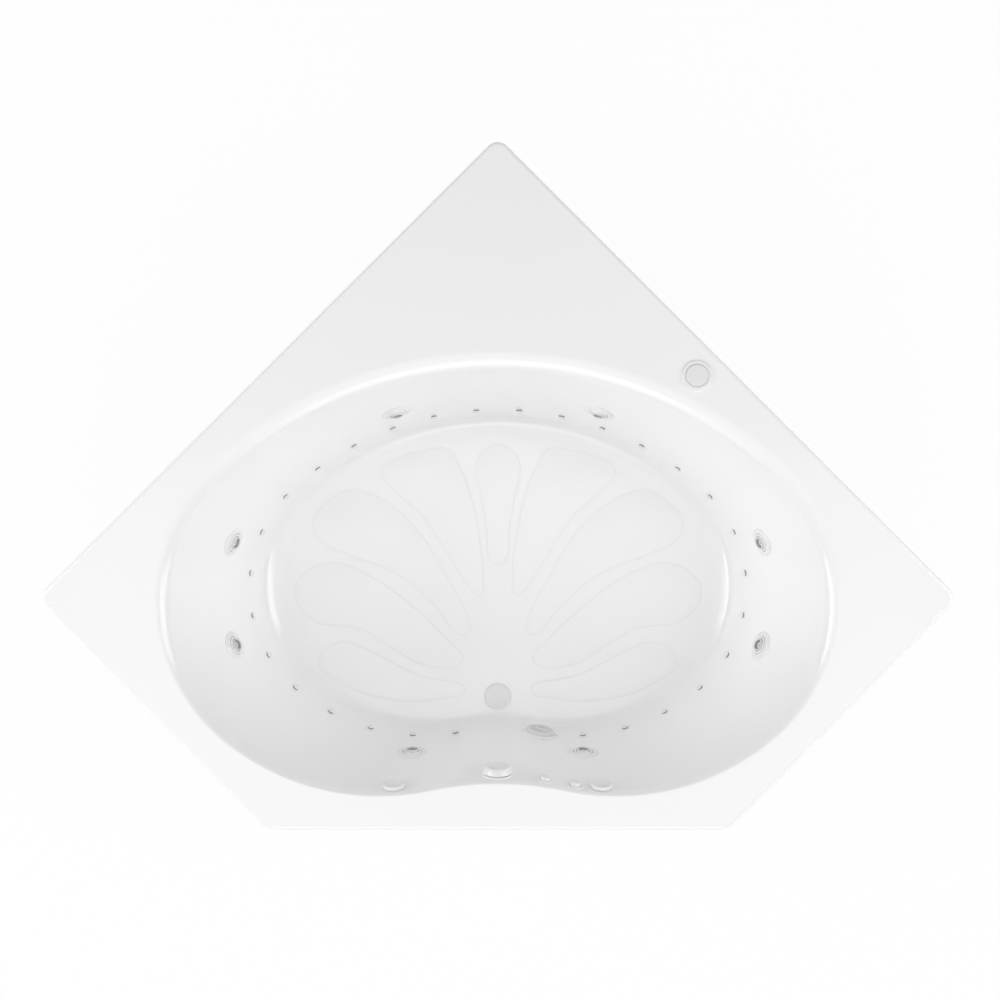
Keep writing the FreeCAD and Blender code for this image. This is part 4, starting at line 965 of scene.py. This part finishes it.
class BATHTUB_OT_suction(bpy.types.Operator):
    """Suction fitting: flange with its tube, slotted cover and screw"""
    bl_idname = "bathtub.suction"
    bl_label = "Suction"

    def execute(self, context):
        place = suction_seat()
        bm = bmesh.new()
        flange = [
            (45.0, 0.2), (44.8, 2.4), (43.0, 4.2), (38.0, 5.0), (25.0, 5.0), (25.0, -29.8), (30.0, -29.8),
            (30.0, 0.2)]
        add(bm, lathe(flange, closed=True, bevel=0.4, steps=64), [place])
        # Painted shade: a dark disc under the grille stands for the shade behind it
        add(bm, lathe([(0, 5.1), (32.0, 5.1), (32.0, 6.0), (0, 6.0)]), [place], material=1)
        finished(
            "suction_flange", bm, ["white trim", "painted shade lining"], replaces=["suction_body"])
        bm = bmesh.new()
        border = [
            (36.5, 5.0), (36.3, 9.0), (34.0, 12.2), (30.0, 13.6), (30.0, 11.0), (32.5, 9.0), (32.5, 5.0)]
        add(bm, lathe(border, closed=True, bevel=0.3, steps=72), [place])
        add(bm, lathe([(0, 6.2), (12.0, 6.2), (12.0, 13.4), (9.0, 14.0), (0, 14.0)], bevel=0.4), [place])
        blade = [(11.0, 11.0), (31.0, 11.0), (31.0, 13.4), (11.0, 13.7)]
        add(bm, lathe(blade, closed=True, steps=3, sweep=12.0), around(place, suction_blades))
        # The grille's grey is painted shade on white plastic
        finished("suction_grille", bm, ["grey trim"], replaces=["suction_cover"])
        bm = bmesh.new()
        head = [(0, 0), (2.0, 0), (2.0, 13.8), (5.0, 13.9), (5.0, 15.2), (3.8, 16.3), (0, 16.6)]
        add(bm, lathe(head, bevel=0.15), [place])
        # Painted shade: a dark bar stands for the shade in the screw's slot
        add(bm, small_block((-3.6, -0.5, 15.9), (3.6, 0.5, 16.7), 0), [place], material=1)
        finished(
            "suction_cover_screw", bm, ["bright screw", "painted shade lining"],
            replaces=["suction_screw"])
        return {"FINISHED"}


class BATHTUB_OT_drain(bpy.types.Operator):
    """Drain flange and the plug that rises from it"""
    bl_idname = "bathtub.drain"
    bl_label = "Drain"

    def execute(self, context):
        place = Matrix.Translation(drain_point())
        bm = bmesh.new()
        flange = [
            (36.0, -0.7), (35.8, 0.4), (34.6, 1.2), (25.0, 1.0), (23.2, -1.0), (23.0, -25.8), (26.0, -25.8),
            (26.0, -0.7)]
        add(bm, lathe(flange, closed=True, bevel=0.2, steps=64), [place])
        # Painted shade: a dark cup stands for the shade down the drain
        cup = [(0, -24.0), (22.9, -24.0), (22.9, -2.0), (22.4, -2.0), (22.4, -22.0), (0, -22.0)]
        add(bm, lathe(cup), [place], material=1)
        finished(
            "drain_strainer_flange", bm, ["white trim", "painted shade lining"], replaces=["drain_flange"])
        plug = [
            (0, -20.0), (7.0, -20.0), (8.0, -19.0), (8.0, 1.5), (31.0, 1.5), (34.0, 2.2), (34.0, 4.2),
            (32.6, 5.6), (27.0, 6.3), (0, 6.5)]
        turned(
            "drain_lift_plug", "drain_plug", plug, place, "pale grey trim", body="drain_plug",
            bevel=0.25, steps=72)
        return {"FINISHED"}


class BATHTUB_OT_overflow(bpy.types.Operator):
    """Overflow plate and the turning knob that works the drain"""
    bl_idname = "bathtub.overflow"
    bl_label = "Overflow"

    def execute(self, context):
        place = seat(front_station(0, overflow_depth))
        plate = [
            (36.5, -0.7), (36.4, 2.0), (35.0, 3.6), (31.0, 4.2), (6.4, 4.2), (6.4, -0.7), (18.0, -0.7),
            (18.0, -17.8), (22.0, -17.8), (22.0, -0.7)]
        turned("overflow_plate", "overflow_flange", plate, place, closed=True, bevel=0.3, steps=64)
        knob = [
            (0, -29.5), (6.0, -29.5), (6.0, 5.6), (33.4, 5.6), (34.8, 6.6), (34.5, 8.2), (29.6, 18.4),
            (28.2, 20.4), (25.8, 21.2), (23.6, 20.6), (0, 20.4)]
        turned(
            "overflow_turn_knob", "overflow_knob", knob, place, body="overflow_knob", bevel=0.35, steps=72)
        return {"FINISHED"}


class BATHTUB_OT_regulators(bpy.types.Operator):
    """Two caps that set how much air the jets draw"""
    bl_idname = "bathtub.regulators"
    bl_label = "Air regulators"

    def execute(self, context):
        cap = [
            (0, -10.0), (8.7, -10.0), (8.7, 3.5), (22.3, 3.5), (22.3, 1.5), (26.0, 1.5), (26.0, 7.6),
            (24.6, 9.6), (21.8, 10.2), (20.4, 9.6), (0, 9.4)]
        for name, side in (("left", -1), ("right", 1)):
            place = seat(front_station(side * regulator_run, regulator_depth))
            node = "air_control_knob_" + name
            turned("air_regulator_cap_" + name, node, cap, place, body=node, bevel=0.35, steps=72)
        return {"FINISHED"}


class BATHTUB_OT_buttons(bpy.types.Operator):
    """Two air buttons below the rim and one on the deck, each in its bezel"""
    bl_idname = "bathtub.buttons"
    bl_label = "Buttons"

    def execute(self, context):
        deck_place = deck_button_seat()
        wall_places = button_seats()
        bm = bmesh.new()
        wall_bezel = [
            (19.5, -0.7), (19.4, 1.2), (18.4, 2.3), (14.6, 2.7), (12.9, 2.2), (12.8, -25.0), (0, -25.0),
            (0, -28.6), (15.5, -28.6), (15.5, -0.7)]
        add(bm, lathe(wall_bezel, bevel=0.2), wall_places)
        deck_bezel = [
            (36.0, 0.1), (35.8, 2.2), (34.0, 3.7), (29.0, 4.0), (26.6, 3.2), (26.3, -25.0), (0, -25.0),
            (0, -28.0), (29.0, -28.0), (29.0, 0.1)]
        add(bm, lathe(deck_bezel, bevel=0.25, steps=72), [deck_place])
        finished("button_bezel_set", bm, ["white trim"], replaces=["button_bezels"])
        cap = [
            (0, -2.3), (12.5, -2.3), (12.5, 6.4), (11.9, 8.4), (10.2, 9.8), (7.4, 10.5), (3.6, 10.7),
            (0, 10.8)]
        for name, place in zip(("pump_button", "blower_button"), wall_places):
            turned(name + "_cap", name, cap, place, body=name, bevel=0.25)
        deck_cap = [(0, -1.0), (26.0, -1.0), (26.0, 4.6), (24.8, 5.7), (22.0, 6.0), (0, 5.7)]
        turned(
            "deck_button_cap", "deck_button", deck_cap, deck_place, "pale grey trim", body="deck_button",
            bevel=0.3, steps=72)
        return {"FINISHED"}


def shaft_seat(node):
    """Place on the pump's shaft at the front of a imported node: local Z along the shaft, local Y down."""
    low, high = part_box(node)
    point = Vector(((low.x + high.x) / 2, low.y, pump_shaft_level))
    return Matrix.Translation(point) @ Matrix.Rotation(-math.pi / 2, 4, "X")


class BATHTUB_OT_pump(bpy.types.Operator):
    """Pump: a finned motor with its fan cover, terminal box and foot, and a bolted volute"""
    bl_idname = "bathtub.pump"
    bl_label = "Pump"

    def execute(self, context):
        place = shaft_seat("pump_motor")
        bm = bmesh.new()
        casing = [
            (0, 150), (62, 150), (62, 164), (66, 165), (72, 163), (75, 158), (75, 126), (73, 122), (66, 120),
            (66, 24), (72.5, 22), (72.5, 8), (70, 3), (58, 0), (8.6, 0), (8.6, 42), (0, 42)]
        add(bm, lathe(casing, bevel=0.8, steps=72), [place])
        # No fins where the foot and the terminal box stand
        fins = around(place, motor_fins, skip=lambda way: way.y > 0.66 or way.y < -0.36)
        add(bm, small_block((64, -0.9, 22), (74, 0.9, 122), 0.5), fins)
        # Painted shade: a dark disc behind the fan cover's spokes stands for the shade inside it
        add(bm, lathe([(0, 151), (61, 151), (61, 153), (0, 153)]), [place], material=1)
        add(bm, small_block((18, -1.5, 158), (63, 1.5, 161), 0.6), around(place, fan_cover_spokes))
        for radius in (33, 48):
            bar = [(radius, 158), (radius + 3, 158), (radius + 3, 161), (radius, 161)]
            add(bm, lathe(bar, closed=True, bevel=0.5), [place])
        add(bm, lathe([(0, 157), (20, 157), (20, 160.5), (17, 162), (0, 162)], bevel=0.4), [place])
        terminal_box = small_block((-27.5, -102, 41), (27.5, -55, 96), 3)
        terminal_lid = small_block((-28.8, -103, 39.8), (28.8, -97, 97.2), 1.5)
        foot_plate = small_block((-55, 83, 41), (55, 90, 123), 2)
        foot = small_block((-40, 45, 48), (40, 85, 116), 4)
        for shape in (terminal_box, terminal_lid, foot_plate, foot):
            add(bm, shape, [place])
        lid_screws = [(side * 22, -103, along) for side in (-1, 1) for along in (46, 91)]
        screwed(bm, 3.2, place, lid_screws, material=2)
        foot_bolts = [(side * 47, 83, along) for side in (-1, 1) for along in (53, 111)]
        screwed(bm, 6.5, place, foot_bolts, material=2)
        finished(
            "finned_pump_motor", bm, ["motor paint", "painted shade lining", "bright screw"],
            replaces=["pump_motor"])

        place = shaft_seat("pump_volute")
        bm = bmesh.new()
        add(bm, eased("pump_volute", 1.2))
        add(bm, lathe([(71, 66), (76, 66), (76, 78), (71, 78)], closed=True, bevel=1.0, steps=72), [place])
        add(bm, small_block((38, -2, 16), (68, 2, 21), 0.8), around(place, volute_ribs))
        add(bm, lathe([(29.5, 2), (36, 2), (36, 16), (29.5, 16)], closed=True, bevel=0.8, steps=12), [place])
        outlet = place @ Matrix.Translation((0, -85 * mm, 50 * mm)) @ Matrix.Rotation(math.pi / 2, 4, "X")
        collar = [(21.5, -15), (28, -15), (28, -1), (21.5, -1)]
        add(bm, lathe(collar, closed=True, bevel=0.8, steps=12), [outlet])
        facing_front = Matrix.Translation((0, 0, 20 * mm)) @ Matrix.Rotation(math.pi, 4, "X")
        between_ribs = place @ facing_front @ Matrix.Rotation(math.pi / volute_ribs, 4, "Z")
        add(bm, bolt_head(4.5), around(between_ribs, volute_ribs, 63), material=1)
        finished(
            "bolted_pump_volute", bm, ["housing plastic", "bright screw"],
            replaces=["pump_volute"])
        return {"FINISHED"}


class BATHTUB_OT_blower(bpy.types.Operator):
    """Blower housing with ribs, a lid ring, a motor cap and screwed lugs"""
    bl_idname = "bathtub.blower"
    bl_label = "Blower"

    def execute(self, context):
        low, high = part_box("blower_housing")
        reach = (high.y - low.y) / 2
        place = Matrix.Translation((low.x + reach, low.y + reach, shelf_top))
        bm = bmesh.new()
        add(bm, eased("blower_housing", 1.2))
        lid_ring = [(79, 104), (82.5, 104), (82.5, 113), (79, 113)]
        add(bm, lathe(lid_ring, closed=True, bevel=1.0, steps=72), [place])
        add(bm, lathe([(0, 119), (23, 119), (23, 124), (19, 129), (0, 130)], bevel=0.8), [place])
        add(bm, small_block((78, -1.2, 10), (82, 1.2, 74), 0.6), around(place, blower_ribs))
        corners = place @ Matrix.Rotation(math.pi / 4, 4, "Z")
        add(bm, small_block((74, -10, 0.2), (95, 10, 7), 2), around(corners, blower_lugs))
        raised = corners @ Matrix.Translation((0, 0, 7 * mm))
        add(bm, bolt_head(5.0), around(raised, blower_lugs, 88), material=1)
        finished(
            "ribbed_blower_housing", bm, ["housing plastic", "bright screw"],
            replaces=["blower_housing"])
        return {"FINISHED"}


class BATHTUB_OT_controls(bpy.types.Operator):
    """Control box with its lid, screws and cable gland nut"""
    bl_idname = "bathtub.controls"
    bl_label = "Control box"

    def execute(self, context):
        low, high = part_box("control_box")
        # The box stands in the middle, and its gland sticks out to the right
        left = low.x
        right = -low.x
        bm = bmesh.new()
        add(bm, eased("control_box", 1.5))
        over = 1.5 * mm
        lid_low = (left - over, low.y - over, high.z - 12 * mm)
        lid_high = (right + over, high.y + over, high.z + over)
        add(bm, block(lid_low, lid_high, 1.5 * mm))
        inset = 9 * mm
        columns = (left + inset, right - inset)
        lines = (low.y + inset, high.y - inset)
        screws = [Matrix.Translation((x, y, high.z + over)) for x in columns for y in lines]
        add(bm, bolt_head(3.5), screws, material=1)
        gland = Vector((right, (low.y + high.y) / 2, (low.z + high.z) / 2))
        nut = Matrix.Translation(gland) @ Matrix.Rotation(math.pi / 2, 4, "Y")
        add(bm, lathe([(9.6, 3), (14, 3), (14, 11), (9.6, 11)], closed=True, bevel=0.6, steps=6), [nut])
        finished(
            "lidded_control_box", bm, ["housing plastic", "bright screw"],
            replaces=["control_box"])
        return {"FINISHED"}


class BATHTUB_OT_frame(bpy.types.Operator):
    """Steel frame, feet, board and shelves with their edges rounded"""
    bl_idname = "bathtub.frame"
    bl_label = "Frame"

    def execute(self, context):
        for node, (name, finish_name, slot, width) in eased_nodes.items():
            finished(name, eased(node, width), [finish_name], replaces=[node])
        return {"FINISHED"}


class BATHTUB_OT_plumbing(bpy.types.Operator):
    """Finishes of the pipes, waste, seals and turning wheels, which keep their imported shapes"""
    bl_idname = "bathtub.plumbing"
    bl_label = "Plumbing"

    def execute(self, context):
        for name, nodes in node_finishes.items():
            for node in nodes:
                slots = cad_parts[node].data.materials
                slots.clear()
                slots.append(finish(name))
        return {"FINISHED"}


def area_light(name, point, aim, size, radiance):
    """Rectangular soft light with a given brightness of its surface."""
    data = bpy.data.lights.new(name, "AREA")
    data.shape = "RECTANGLE"
    data.size, data.size_y = size
    data.energy = radiance * size[0] * size[1] * math.pi
    light = bpy.data.objects.new(name, data)
    light.location = point
    light.rotation_euler = (Vector(aim) - Vector(point)).to_track_quat("-Z", "Y").to_euler()
    bpy.context.scene.collection.objects.link(light)


def seen_rays(tree):
    """Share of rays that see the background: from the camera, in gloss or through glass."""
    path = tree.nodes.new("ShaderNodeLightPath")
    seen = math_node(tree, "MAXIMUM", path.outputs["Is Camera Ray"], path.outputs["Is Transmission Ray"])
    return math_node(tree, "MAXIMUM", seen, path.outputs["Is Glossy Ray"])


def mix_shaders(tree, share, first, second, output):
    """Link two shaders to an output, the second one by its share."""
    blend = tree.nodes.new("ShaderNodeMixShader")
    tree.links.new(share, blend.inputs["Fac"])
    tree.links.new(first, blend.inputs[1])
    tree.links.new(second, blend.inputs[2])
    tree.links.new(blend.outputs["Shader"], tree.nodes[output].inputs["Surface"])


class BATHTUB_OT_stage(bpy.types.Operator):
    """White floor, soft studio light and the camera straight above the tub"""
    bl_idname = "bathtub.stage"
    bl_label = "Stage"

    def execute(self, context):
        scene = context.scene
        scene.view_settings.view_transform = "Standard"
        bm = bmesh.new()
        bmesh.ops.create_grid(bm, x_segments=2, y_segments=2, size=ground_reach)
        mesh = bpy.data.meshes.new("studio_floor")
        bm.to_mesh(mesh)
        bm.free()
        material, tree, shader = fresh("studio white")
        set_inputs(shader, base_color=(ground_tone, ground_tone, ground_tone, 1), roughness=0.9)
        glow = tree.nodes.new("ShaderNodeEmission").outputs["Emission"]
        share = math_node(tree, "MULTIPLY", seen_rays(tree), ground_glow)
        mix_shaders(tree, share, shader.outputs["BSDF"], glow, "Material Output")
        mesh.materials.append(material)
        ground = bpy.data.objects.new("studio_floor", mesh)
        scene.collection.objects.link(ground)

        world = bpy.data.worlds.new("studio")
        scene.world = world
        world.use_nodes = True
        tree = world.node_tree
        dome = tree.nodes["Background"]
        white = tree.nodes.new("ShaderNodeBackground")
        set_inputs(dome, color=(1, 1, 1, 1), strength=dome_strength)
        set_inputs(white, color=(1, 1, 1, 1))
        mix_shaders(
            tree, seen_rays(tree), dome.outputs["Background"], white.outputs["Background"], "World Output")
        for name, (point, aim, size, radiance) in lamps.items():
            area_light(name + " softbox", point, aim, size, radiance)

        data = bpy.data.cameras.new("camera")
        data.lens = camera_lens
        data.sensor_width = camera_sensor
        camera = bpy.data.objects.new("camera", data)
        camera.location = camera_point
        scene.collection.objects.link(camera)
        scene.camera = camera
        return {"FINISHED"}


class BATHTUB_PT_panel(bpy.types.Panel):
    """Sizes, finishes and makers of the bathtub"""
    bl_idname = "BATHTUB_PT_panel"
    bl_label = "Corner Bathtub"
    bl_space_type = "VIEW_3D"
    bl_region_type = "UI"
    bl_category = "Bathtub"

    def draw(self, context):
        for group in (context.scene.bathtub_sizes, context.scene.bathtub_finishes):
            box = self.layout.box()
            for name in group.bl_rna.properties.keys():
                if name not in ("rna_type", "name"):
                    box.prop(group, name)
        for operator in operators:
            self.layout.operator(operator.bl_idname)


operators = (
    BATHTUB_OT_shell, BATHTUB_OT_jets, BATHTUB_OT_injectors, BATHTUB_OT_suction, BATHTUB_OT_drain,
    BATHTUB_OT_overflow, BATHTUB_OT_regulators, BATHTUB_OT_buttons, BATHTUB_OT_pump, BATHTUB_OT_blower,
    BATHTUB_OT_controls, BATHTUB_OT_frame, BATHTUB_OT_plumbing, BATHTUB_OT_stage)
classes = (BathtubSizes, BathtubFinishes) + operators + (BATHTUB_PT_panel,)


def register():
    for cls in classes:
        bpy.utils.register_class(cls)
    bpy.types.Scene.bathtub_sizes = bpy.props.PointerProperty(type=BathtubSizes)
    bpy.types.Scene.bathtub_finishes = bpy.props.PointerProperty(type=BathtubFinishes)


def unregister():
    del bpy.types.Scene.bathtub_finishes
    del bpy.types.Scene.bathtub_sizes
    for cls in reversed(classes):
        bpy.utils.unregister_class(cls)


def main():
    register()
    for operator in operators:
        group, name = operator.bl_idname.split(".")
        getattr(getattr(bpy.ops, group), name)()


if __name__ == "__main__":
    main()
